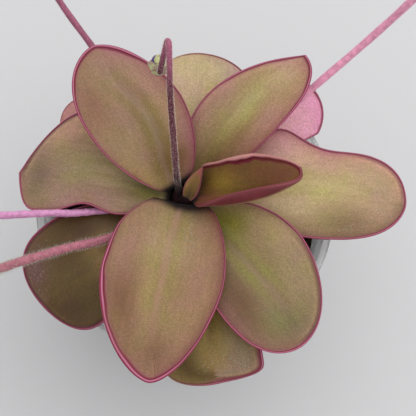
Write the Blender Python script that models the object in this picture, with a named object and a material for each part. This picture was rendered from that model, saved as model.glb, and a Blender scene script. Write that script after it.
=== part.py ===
"""A potted butterwort: a flat rosette of wide leaves and five flower stalks in a clear pot.

+Z is up, and the origin is the centre of the pot's flat base. Every dimension below is in
millimetres and degrees, and new_object() turns it into metres. Leaves and stalks grow out of one
crown, so each starts CONTACT_GAP from it.
"""

import math

import bmesh
import bpy
import numpy as np
from mathutils import Vector

MM = 0.001
CONTACT_GAP = 0.3

# Pot
POT_HEIGHT = 70.0
RIM_RADIUS = 45.0
WALL_TOP_RADIUS = 43.0
BASE_RADIUS = 32.0
WALL = 1.0
FLOOR = 1.4
LIP_HEIGHT = 3.4
LIP_INNER_RADIUS = 42.2
POT_SEGMENTS = 48
DRAIN_HOLES = 5
DRAIN_RADIUS = 3.0
DRAIN_CIRCLE = 20.0

# Potting mix
MIX_EDGE_HEIGHT = 57.0
MIX_CROWN_HEIGHT = 63.0
MIX_SEGMENTS = 36
SOCKET_FLOOR = 54.0

# Crown, as (height, radius) from its buried end to its top
CROWN_PROFILE = [
    (54.3, 3.6), (60.0, 5.0), (68.0, 5.2), (73.0, 4.6), (77.0, 3.8), (79.6, 2.9), (80.6, 2.2),
]
CROWN_SEGMENTS = 20

# Leaves
BLADE = 1.1
RIM_RISE = 1.0
RIM_REACH = 2.4
RIM_TURN = 0.6
KEEL = 0.35
SPINE_SHORT = 0.12
LEAF_STATIONS = 10

# Calyxes: five pointed sepals round the stalk's end
CALYX_ANGLES = 20
SEPALS = 5
SEPAL_REACH = 4.2
SEPAL_NOTCH = 0.55
CALYX_DEPTH = 1.2
CALYX_WALL = 0.35
CALYX_NECK = 0.9

# Open flowers: the radius between the lobes, and each lobe's angle and extra reach
COROLLA_ANGLES = 30
COROLLA_START = 5.9
LOBE_NOTCH = 4.2
LOBE_SPREAD = 22
LOBES = [(55, 5.0), (125, 5.0), (-158, 6.4), (-90, 7.2), (-22, 6.4)]

# The corolla's skin from the throat over the lobes to the spur's tip, as rows of (forward, drop,
# size, lean). The size is a radius in THROAT and SPUR, and a share of the lobes' reach in LIMB.
THROAT = [(-2.3, 0.2, 0.8, 0), (-0.9, 0, 1.3, 0), (0.1, 0, 2.1, 0)]
LIMB = [(0.7, 0, 0.6, 0), (0.5, 0, 0.98, 0), (0.1, 0, 1.0, 0), (0.1, 0, 0.6, 0)]
SPUR = [
    (-1.2, 0, 2.3, 0), (-2.5, 0.4, 1.9, 0.3), (-3.0, 3.0, 1.1, 1.2), (-4.2, 6.2, 0.7, 1.1),
    (-6.2, 9.6, 0.4, 1.0),
]

# The closed bud: rings of (forward, radius), with the sepals' tips reaching past their notches
BUD_OUTSIDE = [(0.3, 0.7), (0.8, 1.7), (1.9, 2.5)]
BUD_TIPS = [(2.6, 4.6, 2.75), (2.6, 4.4, 2.35)]
BUD_INSIDE = [(1.9, 2.1), (1.2, 1.3)]
BUD_PETALS = [(1.55, 0.8), (2.1, 1.7), (3.2, 2.0), (4.8, 1.9), (6.2, 1.3), (7.2, 0.4)]


def leaf(azimuth, length, left, right, height, pitch, **more):
    """One leaf's shape. Left and right are the half widths seen from the crown, looking out.

    Pitch is the midrib's slope at the foot, the middle and the tip. Pairs are (left, right), but
    cup is the cross curve at the foot and the tip, and roll gives it for each side. A lobe (side,
    place, reach, extra) widens or narrows a side, and a wave (side, place, reach, rise) lifts a
    margin, where side 0 is the left. A leaf's foot stands against the crown, or at a place of its own.
    """
    shape = {
        "foot": 3.0, "widest": (0.55, 0.55), "shoulder": (0.75, 0.75), "fullness": (2.1, 2.1),
        "point": (0.5, 0.5), "bend": 0.0, "cup": (0.02, 0.0), "lobe": None, "wave": None, "roll": None,
        "at": None, "thick": 1.0,
    }
    shape.update(azimuth=azimuth, length=length, half=(left, right), height=height, pitch=pitch)
    shape.update(more)
    return shape


LEAVES = {
    "leaf_centre_new": leaf(
        57, 12.2, 2.5, 2.5, 81.4, (50, 47, 40), foot=1.2, widest=(0.4, 0.35), fullness=(1.6, 1.5),
        point=(1.0, 1.0), cup=(0.2, 0.2), at=(0.8, -1.4, 81.4), thick=0.6,
    ),
    "leaf_young_folded": leaf(
        -7, 34.4, 12.0, 9.6, 80, (28, 22, 20), foot=2.4, widest=(0.5, 0.5), shoulder=(0.42, 0.8),
        fullness=(2.1, 2.3), point=(0.62, 0.6), bend=50, lobe=(0, 0.1, 0.1, 1.5),
        roll=((0.085, 0.06), (0.25, 0.34)),
    ),
    "leaf_upper_left": leaf(
        122, 48.5, 15.4, 14.0, 77.2, (35, 24, 0), widest=(0.58, 0.48), shoulder=(0.7, 0.6),
        fullness=(2.1, 1.6), point=(0.5, 0.62), bend=5,
    ),
    "leaf_front": leaf(
        262, 54.2, 15.5, 20.3, 80, (2, 11, -4), widest=(0.42, 0.45), shoulder=(0.36, 0.42),
        fullness=(1.55, 1.7), point=(0.6, 0.58), bend=-6, lobe=(1, 0.14, 0.12, 1.2),
    ),
    "leaf_upper_right": leaf(
        54.3, 52, 12.3, 11, 74.6, (34, 20, 0), widest=(0.42, 0.65), shoulder=(0.7, 0.9),
        fullness=(1.8, 2.1), point=(1.1, 0.42), bend=-20,
    ),
    "leaf_front_right": leaf(
        308, 51.6, 19.3, 13.9, 74.6, (16, 5, -8), widest=(0.5, 0.6), shoulder=(0.62, 1.0),
        fullness=(1.7, 2.4), bend=-1,
    ),
    "leaf_left": leaf(
        171, 45.8, 11, 22.3, 75.4, (10, 0.5, -5), foot=2.2, widest=(0.8, 0.6), shoulder=(0.55, 1.1),
        fullness=(4, 1.85), point=(1.2, 0.85), lobe=(0, 0.53, 0.13, -3.0), wave=(0, 0.55, 0.14, 3.8),
    ),
    "leaf_right": leaf(
        2, 61.4, 13.5, 13.7, 72.8, (8, 1, -8), foot=2.2, widest=(0.7, 0.62), shoulder=(0.9, 0.9),
        fullness=(2.7, 2.5), bend=-6, lobe=(0, 0.37, 0.16, 9.8),
    ),
    "leaf_lower_left": leaf(
        214, 47.6, 16, 18.2, 71.2, (7, 0, -16), foot=2.0, widest=(0.72, 0.66), shoulder=(1.0, 1.0),
        fullness=(3.0, 3.0), bend=9, cup=(0.01, 0.0),
    ),
    "leaf_front_under": leaf(
        280, 50, 14.6, 15, 71.2, (6, 0, -14), widest=(0.8, 0.75), shoulder=(1.1, 1.1),
        fullness=(10, 3.6),
    ),
    "leaf_back": leaf(
        83, 42, 15, 17, 71.6, (16, 5, -8), foot=2.2, widest=(0.6, 0.6), shoulder=(1.1, 1.1),
        fullness=(2.4, 2.4),
    ),
    "leaf_left_under": leaf(140, 42.5, 12, 11, 70.0, (7, 3, -10), shoulder=(1.1, 1.1), bend=-4),
    "leaf_right_under": leaf(
        55, 46.5, 16.5, 12, 69.4, (9, 3, -9), foot=2.2, widest=(0.72, 0.6), shoulder=(1.1, 1.1),
        point=(0.7, 0.8), bend=-92, cup=(0.004, 0.0),
    ),
}

# Flower stalks: radius at the crown and at the flower, and the points that the axis runs through.
SCAPES = {
    "scape_centre": (0.9, 0.6, [
        (-1.6, 0.4, 80.9), (-2.2, 4.0, 88), (-2.8, 11.4, 99), (-3.3, 17.9, 107), (-3.5, 22.6, 112),
        (-3.5, 26.5, 115.9), (-3.5, 29.5, 118.9), (-3.6, 31.2, 119.5), (-4.0, 32.4, 118.5),
        (-4.4, 32.0, 116.9), (-4.9, 30.6, 115.2), (-5.5, 29.0, 113.3), (-5.95, 27.6, 111.6),
        (-6.2, 26.9, 110.4), (-6.3, 27.1, 109.3), (-6.4, 27.9, 108.5),
    ]),
    "scape_upper_left": (1.1, 0.8, [
        (-2.5, 4.0, 74.4), (-8, 14.5, 77), (-17.8, 31.1, 83.5), (-28.3, 44.8, 88), (-36.8, 55.2, 95),
        (-44, 66, 106), (-48.5, 75, 118), (-52, 82, 125.5), (-55.5, 87.5, 127),
    ]),
    "scape_upper_right": (1.1, 0.8, [
        (3.7, 3.5, 71.9), (10.5, 9.5, 73.2), (19.5, 17.2, 75.7), (34.9, 30.2, 80.5), (53.6, 43.3, 93),
        (64.4, 48.1, 112), (70, 52, 122), (76.5, 56.5, 130), (83, 61, 132.5),
    ]),
    "scape_left": (0.95, 0.8, [
        (-5.2, -0.5, 73.4), (-14, -2.4, 74.8), (-25, -3.7, 76.2), (-30.5, -4.6, 77.5),
        (-34.5, -5.3, 79.3), (-38.5, -5.7, 81.2), (-46, -6.7, 83.6), (-52.5, -8, 87.2),
        (-63, -9.6, 94), (-71, -11.4, 101.5), (-77, -12.7, 106.5), (-83, -14, 107.5),
    ]),
    "scape_lower_left": (1.25, 0.9, [
        (-3.9, -2.9, 74.5), (-12, -6.8, 75.2), (-22.1, -12.2, 77), (-34.1, -16.2, 81),
        (-45.3, -22.0, 90), (-49.9, -25.8, 98), (-55, -30, 109), (-60.5, -34, 119), (-66, -38, 124.5),
        (-72, -42, 125),
    ]),
}
SPAN_POINTS = 3

# Materials: colour, roughness, metallic
PLASTIC = ((0.75, 0.77, 0.78), 0.2, 0.0)
MIX = ((0.03, 0.025, 0.02), 0.95, 0.0)
CROWN = ((0.10, 0.04, 0.04), 0.6, 0.0)
LEAF_GREEN = ((0.36, 0.27, 0.13), 0.5, 0.0)
LEAF_PINK = ((0.62, 0.24, 0.32), 0.5, 0.0)
SCAPE_PINK = ((0.50, 0.16, 0.26), 0.5, 0.0)
SCAPE_DARK = ((0.16, 0.03, 0.06), 0.5, 0.0)
SEPAL = ((0.36, 0.40, 0.14), 0.5, 0.0)
PETAL = ((0.30, 0.12, 0.45), 0.5, 0.0)


def new_material(name, look):
    colour, roughness, metallic = look
    material = bpy.data.materials.new(name)
    material.use_nodes = True
    shader = material.node_tree.nodes["Principled BSDF"]
    shader.inputs["Base Color"].default_value = (*colour, 1.0)
    shader.inputs["Roughness"].default_value = roughness
    shader.inputs["Metallic"].default_value = metallic
    return material


def new_object(name, points, faces, look):
    """A mesh object from points in millimetres, with its faces turned outward."""
    mesh = bpy.data.meshes.new(name)
    mesh.from_pydata([tuple(MM * c for c in point) for point in points], [], faces)
    work = bmesh.new()
    work.from_mesh(mesh)
    bmesh.ops.recalc_face_normals(work, faces=work.faces)
    work.to_mesh(mesh)
    work.free()
    mesh.shade_smooth()
    mesh.set_sharp_from_angle(angle=math.radians(50))
    made = bpy.data.objects.new(name, mesh)
    bpy.context.collection.objects.link(made)
    made.data.materials.append(new_material(name, look))
    return made


def turned(name, profile, segments, look):
    """A solid of revolution about Z from (radius, height) points; radius 0 ends at a pole."""
    points, rings = [], []
    for radius, height in profile:
        if radius == 0:
            rings.append([len(points)] * segments)
            points.append((0, 0, height))
            continue
        start = len(points)
        rings.append([start + k for k in range(segments)])
        for k in range(segments):
            turn = 2 * math.pi * k / segments
            points.append((radius * math.cos(turn), radius * math.sin(turn), height))
    faces = skin(rings, closed=profile[0][0] != 0)
    return new_object(name, points, faces, look)


def skin(rings, closed=False):
    """Quads between neighbouring rings of point numbers, or triangles where a ring is one point."""
    faces = []
    pairs = list(zip(rings, rings[1:]))
    if closed:
        pairs.append((rings[-1], rings[0]))
    for low, high in pairs:
        for k in range(len(low)):
            after = (k + 1) % len(low)
            corners = [low[k], low[after], high[after], high[k]]
            face = list(dict.fromkeys(corners))
            if len(face) > 2:
                faces.append(face)
    return faces


def wall_radius(height):
    """The pot's outer radius below its lip."""
    rise = height / (POT_HEIGHT - LIP_HEIGHT)
    return BASE_RADIUS + (WALL_TOP_RADIUS - BASE_RADIUS) * rise


def make_pot():
    lip_foot = POT_HEIGHT - LIP_HEIGHT
    profile = [
        (0, 0),
        (BASE_RADIUS - 0.8, 0),
        (BASE_RADIUS, 0.8),
        (WALL_TOP_RADIUS, lip_foot),
        (RIM_RADIUS - 0.3, lip_foot + 0.3),
        (RIM_RADIUS, lip_foot + 1.2),
        (RIM_RADIUS, POT_HEIGHT - 0.8),
        (RIM_RADIUS - 0.8, POT_HEIGHT),
        (LIP_INNER_RADIUS + 0.7, POT_HEIGHT),
        (LIP_INNER_RADIUS, POT_HEIGHT - 0.8),
        (WALL_TOP_RADIUS - WALL, lip_foot),
        (wall_radius(FLOOR) - WALL, FLOOR),
        (0, FLOOR),
    ]
    pot = turned("pot", profile, POT_SEGMENTS, PLASTIC)
    for k in range(DRAIN_HOLES):
        turn = 2 * math.pi * k / DRAIN_HOLES
        middle = (DRAIN_CIRCLE * math.cos(turn), DRAIN_CIRCLE * math.sin(turn))
        drill(pot, f"drain_cutter_{k}", middle)
    return pot


def drill(pot, name, middle):
    """One drainage hole through the pot's floor."""
    bpy.ops.mesh.primitive_cylinder_add(
        vertices=12,
        radius=DRAIN_RADIUS * MM,
        depth=4 * FLOOR * MM,
        location=(middle[0] * MM, middle[1] * MM, 0),
    )
    cutter = bpy.context.object
    cutter.name = name
    cutter.hide_render = True
    cutter.display_type = "WIRE"
    cut = pot.modifiers.new(name, "BOOLEAN")
    cut.operation = "DIFFERENCE"
    cut.object = cutter


def make_mix():
    """The mix fills the pot to MIX_EDGE_HEIGHT and is heaped round the crown, which sits in a socket."""
    crown_radius = CROWN_PROFILE[2][1]
    side = WALL + CONTACT_GAP
    profile = [
        (0, FLOOR + CONTACT_GAP),
        (wall_radius(FLOOR + CONTACT_GAP) - side, FLOOR + CONTACT_GAP),
        (wall_radius(MIX_EDGE_HEIGHT) - side, MIX_EDGE_HEIGHT),
        (30, MIX_EDGE_HEIGHT + 0.8),
        (18, MIX_EDGE_HEIGHT + 2.6),
        (9, MIX_CROWN_HEIGHT),
        (crown_radius + CONTACT_GAP, MIX_CROWN_HEIGHT + 0.4),
        (crown_radius + CONTACT_GAP, SOCKET_FLOOR),
        (0, SOCKET_FLOOR),
    ]
    turned("potting_mix", profile, MIX_SEGMENTS, MIX)


def make_crown():
    bottom, top = CROWN_PROFILE[0][0], CROWN_PROFILE[-1][0]
    side = [(radius, height) for height, radius in CROWN_PROFILE]
    turned("crown", [(0, bottom)] + side + [(0, top)], CROWN_SEGMENTS, CROWN)


def crown_radius_at(height):
    return float(np.interp(height, *zip(*CROWN_PROFILE)))


def spread(values, u):
    """The parabola through the values at the foot, the middle and the tip."""
    foot, middle, tip = values
    return foot * (1 - u) * (1 - 2 * u) + 4 * middle * u * (1 - u) + tip * u * (2 * u - 1)


def midrib(shape, steps=80):
    """Places and directions along a leaf's midrib: (u, point, along, across, up)."""
    u = np.linspace(0, 1, steps + 1)
    pitch = np.radians(spread(shape["pitch"], u))
    heading = np.radians(shape["azimuth"] + shape["bend"] * u ** 2)
    level = np.cos(pitch)
    along = np.stack([level * np.cos(heading), level * np.sin(heading), np.sin(pitch)], 1)
    across = np.stack([-np.sin(heading), np.cos(heading), 0 * heading], 1)
    up = np.cross(along, across)
    azimuth = math.radians(shape["azimuth"])
    clear = crown_radius_at(shape["height"]) + CONTACT_GAP + BLADE / 2 * math.sin(pitch[0])
    foot = np.array([clear * math.cos(azimuth), clear * math.sin(azimuth), shape["height"]])
    if shape["at"]:
        foot = np.array(shape["at"])
    stride = (along[1:] + along[:-1]) / 2 * shape["length"] / steps
    point = np.vstack([foot, foot + np.cumsum(stride, axis=0)])
    return u, point, along, across, up


def half_width(shape, u, side):
    """The blade's half width at u on one side: 0 is left and 1 is right."""
    full, widest = shape["half"][side], shape["widest"][side]
    swell = np.sin(math.pi / 2 * np.clip(u / widest, 0, 1)) ** shape["shoulder"][side]
    rise = shape["foot"] + (full - shape["foot"]) * swell
    past = np.clip((u - widest) / (1 - widest), 0, 1)
    fall = full * np.clip(1 - past ** shape["fullness"][side], 0, 1) ** shape["point"][side]
    width = np.where(u < widest, rise, fall)
    if shape["lobe"] and shape["lobe"][0] == side:
        _, place, reach, extra = shape["lobe"]
        width = width + extra * np.exp(-(((u - place) / reach) ** 2)) * np.clip(u / 0.1, 0, 1)
    return width


def blade_point(shape, rib, x, y, lift):
    """The place in space of the flat leaf's point (x along, y to the left), lifted off the blade."""
    u, point, along, across, up = rib
    reach = x / shape["length"]
    columns = [part.T for part in (point, across, up)]
    here = [np.array([np.interp(reach, u, column) for column in part]) for part in columns]
    foot, tip = shape["roll"][0 if y > 0 else 1] if shape["roll"] else shape["cup"]
    bow = max(foot * (1 - reach) + tip * reach, 1e-5)
    turn = bow * y
    middle = here[0] + here[1] * math.sin(turn) / bow + here[2] * (1 - math.cos(turn)) / bow
    if shape["wave"]:
        side, place, width, rise = shape["wave"]
        out = np.clip((y if side == 0 else -y) / shape["half"][side], 0, 1.2)
        middle = middle + here[2] * rise * math.exp(-(((reach - place) / width) ** 2)) * out ** 2
    normal = here[2] * math.cos(turn) - here[1] * math.sin(turn)
    return middle + normal * lift


def rim_rise(inset):
    """How far the rolled margin lifts the blade, at a distance in from its edge."""
    return RIM_RISE * max(0.0, 1 - inset / RIM_REACH) ** 2


def leaf_section():
    """The skin from the midrib out over the top, round the margin and back under the blade.

    Each entry is (share, inset, lift). Inset is the distance in from the margin, and share runs from
    there, 0, to the midrib, 1.
    """
    half, curl = BLADE / 2, rim_rise(RIM_TURN)
    middle = (0.5, RIM_REACH)
    top = [(1.0, 0, half), (*middle, half), (0, RIM_REACH, half), (0, RIM_TURN, curl + half)]
    bottom = [(0, RIM_TURN, curl - half), (0, RIM_REACH, -half), (*middle, -half)]
    bottom.append((1.0, 0, -half - KEEL))
    return top + [(0, 0, rim_rise(0))] + bottom


def make_leaf(name, shape, look):
    rib = midrib(shape)
    section = leaf_section()
    stations = [1 - (1 - k / LEAF_STATIONS) ** 1.8 for k in range(LEAF_STATIONS + 1)]
    points, halves = [], []
    for side in (0, 1):
        sign = 1 if side == 0 else -1
        rows = []
        for u in stations:
            edge = np.array([u, sign * float(half_width(shape, u, side)) / shape["length"]])
            spine = np.array([u - SPINE_SHORT * u ** 3, 0.0])
            width = float(np.linalg.norm(edge - spine)) * shape["length"]
            reach = min(RIM_REACH, 0.8 * width)
            row = []
            for share, inset, lift in section:
                inward = inset * reach / RIM_REACH / width
                inward += share * (1 - inward)
                x, y = (edge + (spine - edge) * inward) * shape["length"]
                row.append(len(points))
                points.append(blade_point(shape, rib, x, y, lift * shape["thick"]))
            rows.append(row)
        halves.append(rows)
    faces = []
    for rows in halves:
        for near, far in zip(rows, rows[1:]):
            for k in range(len(section) - 1):
                faces.append([near[k], near[k + 1], far[k + 1], far[k]])
        faces.append(rows[0])
    made = new_object(name, points, faces, look)
    weld(made)
    return made


def weld(made):
    """Joins the points that a leaf's two halves share, and turns every face outward."""
    work = bmesh.new()
    work.from_mesh(made.data)
    bmesh.ops.remove_doubles(work, verts=work.verts, dist=0.01 * MM)
    bmesh.ops.recalc_face_normals(work, faces=work.faces)
    work.to_mesh(made.data)
    work.free()


def smooth_path(knots):
    """A Catmull-Rom curve through the knots, with SPAN_POINTS points from each knot to the next."""
    knots = np.array(knots, float)
    padded = np.vstack([2 * knots[0] - knots[1], knots, 2 * knots[-1] - knots[-2]])
    path = []
    for before, start, end, after in zip(padded, padded[1:], padded[2:], padded[3:]):
        slope, bend = end - before, 2 * before - 5 * start + 4 * end - after
        twist = 3 * start - before - 3 * end + after
        for t in np.linspace(0, 1, SPAN_POINTS, endpoint=False):
            path.append(start + 0.5 * (slope * t + bend * t ** 2 + twist * t ** 3))
    return np.array(path + [knots[-1]])


def make_scape(name, thick, thin, knots, look):
    curve = bpy.data.curves.new(name, "CURVE")
    curve.dimensions = "3D"
    curve.bevel_depth = MM
    curve.bevel_resolution = 2
    curve.use_fill_caps = True
    path = smooth_path(knots)
    spline = curve.splines.new("POLY")
    spline.points.add(len(path) - 1)
    for k, (point, place) in enumerate(zip(spline.points, path)):
        point.co = (*(MM * place), 1.0)
        point.radius = thick + (thin - thick) * k / (len(path) - 1)
    made = bpy.data.objects.new(name, curve)
    bpy.context.collection.objects.link(made)
    curve.materials.append(new_material(name, look))


def facing(knots):
    """The frame at the end of a stalk: where it ends, the way it points, its left and its up."""
    path = smooth_path(knots)
    ahead = Vector(path[-1] - path[-2]).normalized()
    left = Vector((0, 0, 1)).cross(ahead).normalized()
    return Vector(path[-1]), ahead, left, ahead.cross(left)


def ring_points(frame, forward, drop, radii, angles, lean=0.0):
    """A ring about a flower's axis, at a distance forward and down, tipped back by lean."""
    place, ahead, left, up = frame
    middle = place + ahead * forward - up * drop
    high = up * math.cos(lean) - ahead * math.sin(lean)
    turns = [2 * math.pi * k / angles for k in range(angles)]
    return [middle + left * (r * math.cos(t)) + high * (r * math.sin(t)) for r, t in zip(radii, turns)]


def loft(name, rings, look):
    """A closed solid through rings of equal count, with a flat cap on each end ring."""
    points = [point for ring in rings for point in ring]
    count = len(rings[0])
    numbers = [[row * count + k for k in range(count)] for row in range(len(rings))]
    faces = skin(numbers) + [numbers[0][::-1], numbers[-1]]
    return new_object(name, points, faces, look)


def lobe_reach(turn):
    """The corolla's radius: two upper lobes and three longer lower ones."""
    reach = LOBE_NOTCH
    for middle, extra in LOBES:
        away = (math.degrees(turn) - middle + 180) % 360 - 180
        reach += extra * math.exp(-((away / LOBE_SPREAD) ** 2))
    return reach


def make_flower(name, frame):
    """An open flower: a throat, five lobes, and a tube whose spur hangs down behind."""
    angles = COROLLA_ANGLES
    lobes = [lobe_reach(2 * math.pi * k / angles) for k in range(angles)]
    rings = []
    for rows, outline in ((THROAT, [1] * angles), (LIMB, lobes), (SPUR, [1] * angles)):
        for forward, drop, size, lean in rows:
            radii = [size * reach for reach in outline]
            rings.append(ring_points(frame, COROLLA_START + forward, drop, radii, angles, lean))
    loft(name, rings, PETAL)


def make_calyx(name, frame):
    """A shallow cup of pointed sepals that opens forward from the stalk's end."""
    angles = CALYX_ANGLES
    swell = [max(0.0, math.sin(SEPALS * 2 * math.pi * k / angles)) ** 2 for k in range(angles)]
    star = [SEPAL_REACH * (SEPAL_NOTCH + (1 - SEPAL_NOTCH) * amount) for amount in swell]
    low, high = CONTACT_GAP + 0.3 * CALYX_DEPTH, CONTACT_GAP + CALYX_DEPTH
    rings = [
        ring_points(frame, CONTACT_GAP, 0, [CALYX_NECK] * angles, angles),
        ring_points(frame, low, 0, [0.6 * reach + CALYX_WALL for reach in star], angles),
        ring_points(frame, high, 0, star, angles),
        ring_points(frame, high + CALYX_WALL, 0, [0.95 * reach for reach in star], angles),
        ring_points(frame, low + CALYX_WALL, 0, [0.55 * reach for reach in star], angles),
        ring_points(frame, CONTACT_GAP + CALYX_WALL, 0, [CONTACT_GAP / 2] * angles, angles),
    ]
    loft(name, rings, SEPAL)


def sepal_ring(frame, low, high, radius):
    """A ring that runs low between the bud's sepals and high at their tips."""
    place, ahead, left, up = frame
    points = []
    for k in range(CALYX_ANGLES):
        turn = 2 * math.pi * k / CALYX_ANGLES
        forward = low + (high - low) * (0.5 + 0.5 * math.sin(SEPALS * turn)) ** 1.5
        side = left * math.cos(turn) + up * math.sin(turn)
        points.append(place + ahead * forward + side * radius)
    return points


def make_bud(frame):
    """The closed bud on the hooked stalk: sepals cupped round a blunt, folded corolla."""
    angles = CALYX_ANGLES

    def rings(rows):
        return [ring_points(frame, forward, 0, [radius] * angles, angles) for forward, radius in rows]

    tips = [sepal_ring(frame, *row) for row in BUD_TIPS]
    loft("bud_calyx", rings(BUD_OUTSIDE) + tips + rings(BUD_INSIDE), SEPAL)
    loft("bud_corolla", rings(BUD_PETALS), PETAL)


def main():
    for old in list(bpy.data.objects):
        bpy.data.objects.remove(old, do_unlink=True)
    make_pot()
    make_mix()
    make_crown()
    for name, shape in LEAVES.items():
        make_leaf(name, shape, LEAF_PINK if "right_under" in name else LEAF_GREEN)
    for name, (thick, thin, knots) in SCAPES.items():
        make_scape(name, thick, thin, knots, SCAPE_DARK if "centre" in name else SCAPE_PINK)
        frame = facing(knots)
        if name == "scape_centre":
            make_bud(frame)
            continue
        where = name.removeprefix("scape_")
        make_calyx(f"calyx_{where}", frame)
        make_flower(f"flower_{where}", frame)


main()
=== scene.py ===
"""The looks of the potted butterwort: velvety leaves with rolled pink margins, hairy flower stalks,
violet flowers, a clear pot and dark potting mix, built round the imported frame.

Lengths are millimetres, apart from the lights, the floor and the camera, which are in metres;
mesh_from() turns a piece's points into metres. The leaf and stalk tables repeat the ones that the
solids were made from.
"""

import math

import bmesh
import bpy
import numpy as np
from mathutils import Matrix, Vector


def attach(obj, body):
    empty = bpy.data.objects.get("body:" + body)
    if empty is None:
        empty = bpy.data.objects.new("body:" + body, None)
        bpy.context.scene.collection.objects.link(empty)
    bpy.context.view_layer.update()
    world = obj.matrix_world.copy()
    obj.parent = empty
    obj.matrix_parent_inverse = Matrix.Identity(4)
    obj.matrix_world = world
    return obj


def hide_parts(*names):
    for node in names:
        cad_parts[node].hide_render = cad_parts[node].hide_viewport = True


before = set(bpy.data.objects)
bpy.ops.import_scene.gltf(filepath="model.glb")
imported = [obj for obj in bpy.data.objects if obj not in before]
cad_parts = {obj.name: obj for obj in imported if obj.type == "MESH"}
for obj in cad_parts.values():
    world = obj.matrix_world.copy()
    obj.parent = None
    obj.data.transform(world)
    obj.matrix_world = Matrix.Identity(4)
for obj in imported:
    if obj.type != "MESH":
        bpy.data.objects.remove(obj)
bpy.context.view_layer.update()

MM = 0.001
CONTACT_GAP = 0.3

# ---------------------------------------------------------------- shared dimensions

CROWN_PROFILE = [
    (54.3, 3.6), (60.0, 5.0), (68.0, 5.2), (73.0, 4.6), (77.0, 3.8), (79.6, 2.9), (80.6, 2.2),
]
CAD_BLADE = 1.1
BLADE = 0.9
KEEL = 0.3
SPINE_SHORT = 0.12
RIM_REACH = 2.4


def leaf(azimuth, length, left, right, height, pitch, **more):
    """One leaf's shape. Left and right are the half widths seen from the crown, looking out.

    Pitch is the midrib's slope at the foot, the middle and the tip. Pairs are (left, right), but
    cup is the cross curve at the foot and the tip, and roll gives it for each side. A lobe (side,
    place, reach, extra) widens or narrows a side, and a wave (side, place, reach, rise) lifts a
    margin, where side 0 is the left. A leaf's foot stands against the crown, or at a place of its own.
    """
    shape = {
        "foot": 3.0, "widest": (0.55, 0.55), "shoulder": (0.75, 0.75), "fullness": (2.1, 2.1),
        "point": (0.5, 0.5), "bend": 0.0, "cup": (0.02, 0.0), "lobe": None, "wave": None, "roll": None,
        "at": None, "thick": 1.0,
    }
    shape.update(azimuth=azimuth, length=length, half=(left, right), height=height, pitch=pitch)
    shape.update(more)
    return shape


LEAVES = {
    "leaf_centre_new": leaf(
        57, 12.2, 2.5, 2.5, 81.4, (50, 47, 40), foot=1.2, widest=(0.4, 0.35), fullness=(1.6, 1.5),
        point=(1.0, 1.0), cup=(0.2, 0.2), at=(0.8, -1.4, 81.4), thick=0.6,
    ),
    "leaf_young_folded": leaf(
        -7, 34.4, 12.0, 9.6, 80, (28, 22, 20), foot=2.4, widest=(0.5, 0.5), shoulder=(0.42, 0.8),
        fullness=(2.1, 2.3), point=(0.62, 0.6), bend=50, lobe=(0, 0.1, 0.1, 1.5),
        roll=((0.085, 0.06), (0.25, 0.34)),
    ),
    "leaf_upper_left": leaf(
        122, 48.5, 15.4, 14.0, 77.2, (35, 24, 0), widest=(0.58, 0.48), shoulder=(0.7, 0.6),
        fullness=(2.1, 1.6), point=(0.5, 0.62), bend=5,
    ),
    "leaf_front": leaf(
        262, 54.2, 15.5, 20.3, 80, (2, 11, -4), widest=(0.42, 0.45), shoulder=(0.36, 0.42),
        fullness=(1.55, 1.7), point=(0.6, 0.58), bend=-6, lobe=(1, 0.14, 0.12, 1.2),
    ),
    "leaf_upper_right": leaf(
        54.3, 52, 12.3, 11, 74.6, (34, 20, 0), widest=(0.42, 0.65), shoulder=(0.7, 0.9),
        fullness=(1.8, 2.1), point=(1.1, 0.42), bend=-20,
    ),
    "leaf_front_right": leaf(
        308, 51.6, 19.3, 13.9, 74.6, (16, 5, -8), widest=(0.5, 0.6), shoulder=(0.62, 1.0),
        fullness=(1.7, 2.4), bend=-1,
    ),
    "leaf_left": leaf(
        171, 45.8, 11, 22.3, 75.4, (10, 0.5, -5), foot=2.2, widest=(0.8, 0.6), shoulder=(0.55, 1.1),
        fullness=(4, 1.85), point=(1.2, 0.85), lobe=(0, 0.53, 0.13, -3.0), wave=(0, 0.55, 0.14, 3.8),
    ),
    "leaf_right": leaf(
        2, 61.4, 13.5, 13.7, 72.8, (8, 1, -8), foot=2.2, widest=(0.7, 0.62), shoulder=(0.9, 0.9),
        fullness=(2.7, 2.5), bend=-6, lobe=(0, 0.37, 0.16, 9.8),
    ),
    "leaf_lower_left": leaf(
        214, 47.6, 16, 18.2, 71.2, (7, 0, -16), foot=2.0, widest=(0.72, 0.66), shoulder=(1.0, 1.0),
        fullness=(3.0, 3.0), bend=9, cup=(0.01, 0.0),
    ),
    "leaf_front_under": leaf(
        280, 50, 14.6, 15, 71.2, (6, 0, -14), widest=(0.8, 0.75), shoulder=(1.1, 1.1),
        fullness=(10, 3.6),
    ),
    "leaf_back": leaf(
        83, 42, 15, 17, 71.6, (16, 5, -8), foot=2.2, widest=(0.6, 0.6), shoulder=(1.1, 1.1),
        fullness=(2.4, 2.4),
    ),
    "leaf_left_under": leaf(140, 42.5, 12, 11, 70.0, (7, 3, -10), shoulder=(1.1, 1.1), bend=-4),
    "leaf_right_under": leaf(
        55, 46.5, 16.5, 12, 69.4, (9, 3, -9), foot=2.2, widest=(0.72, 0.6), shoulder=(1.1, 1.1),
        point=(0.7, 0.8), bend=-92, cup=(0.004, 0.0),
    ),
}

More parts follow.
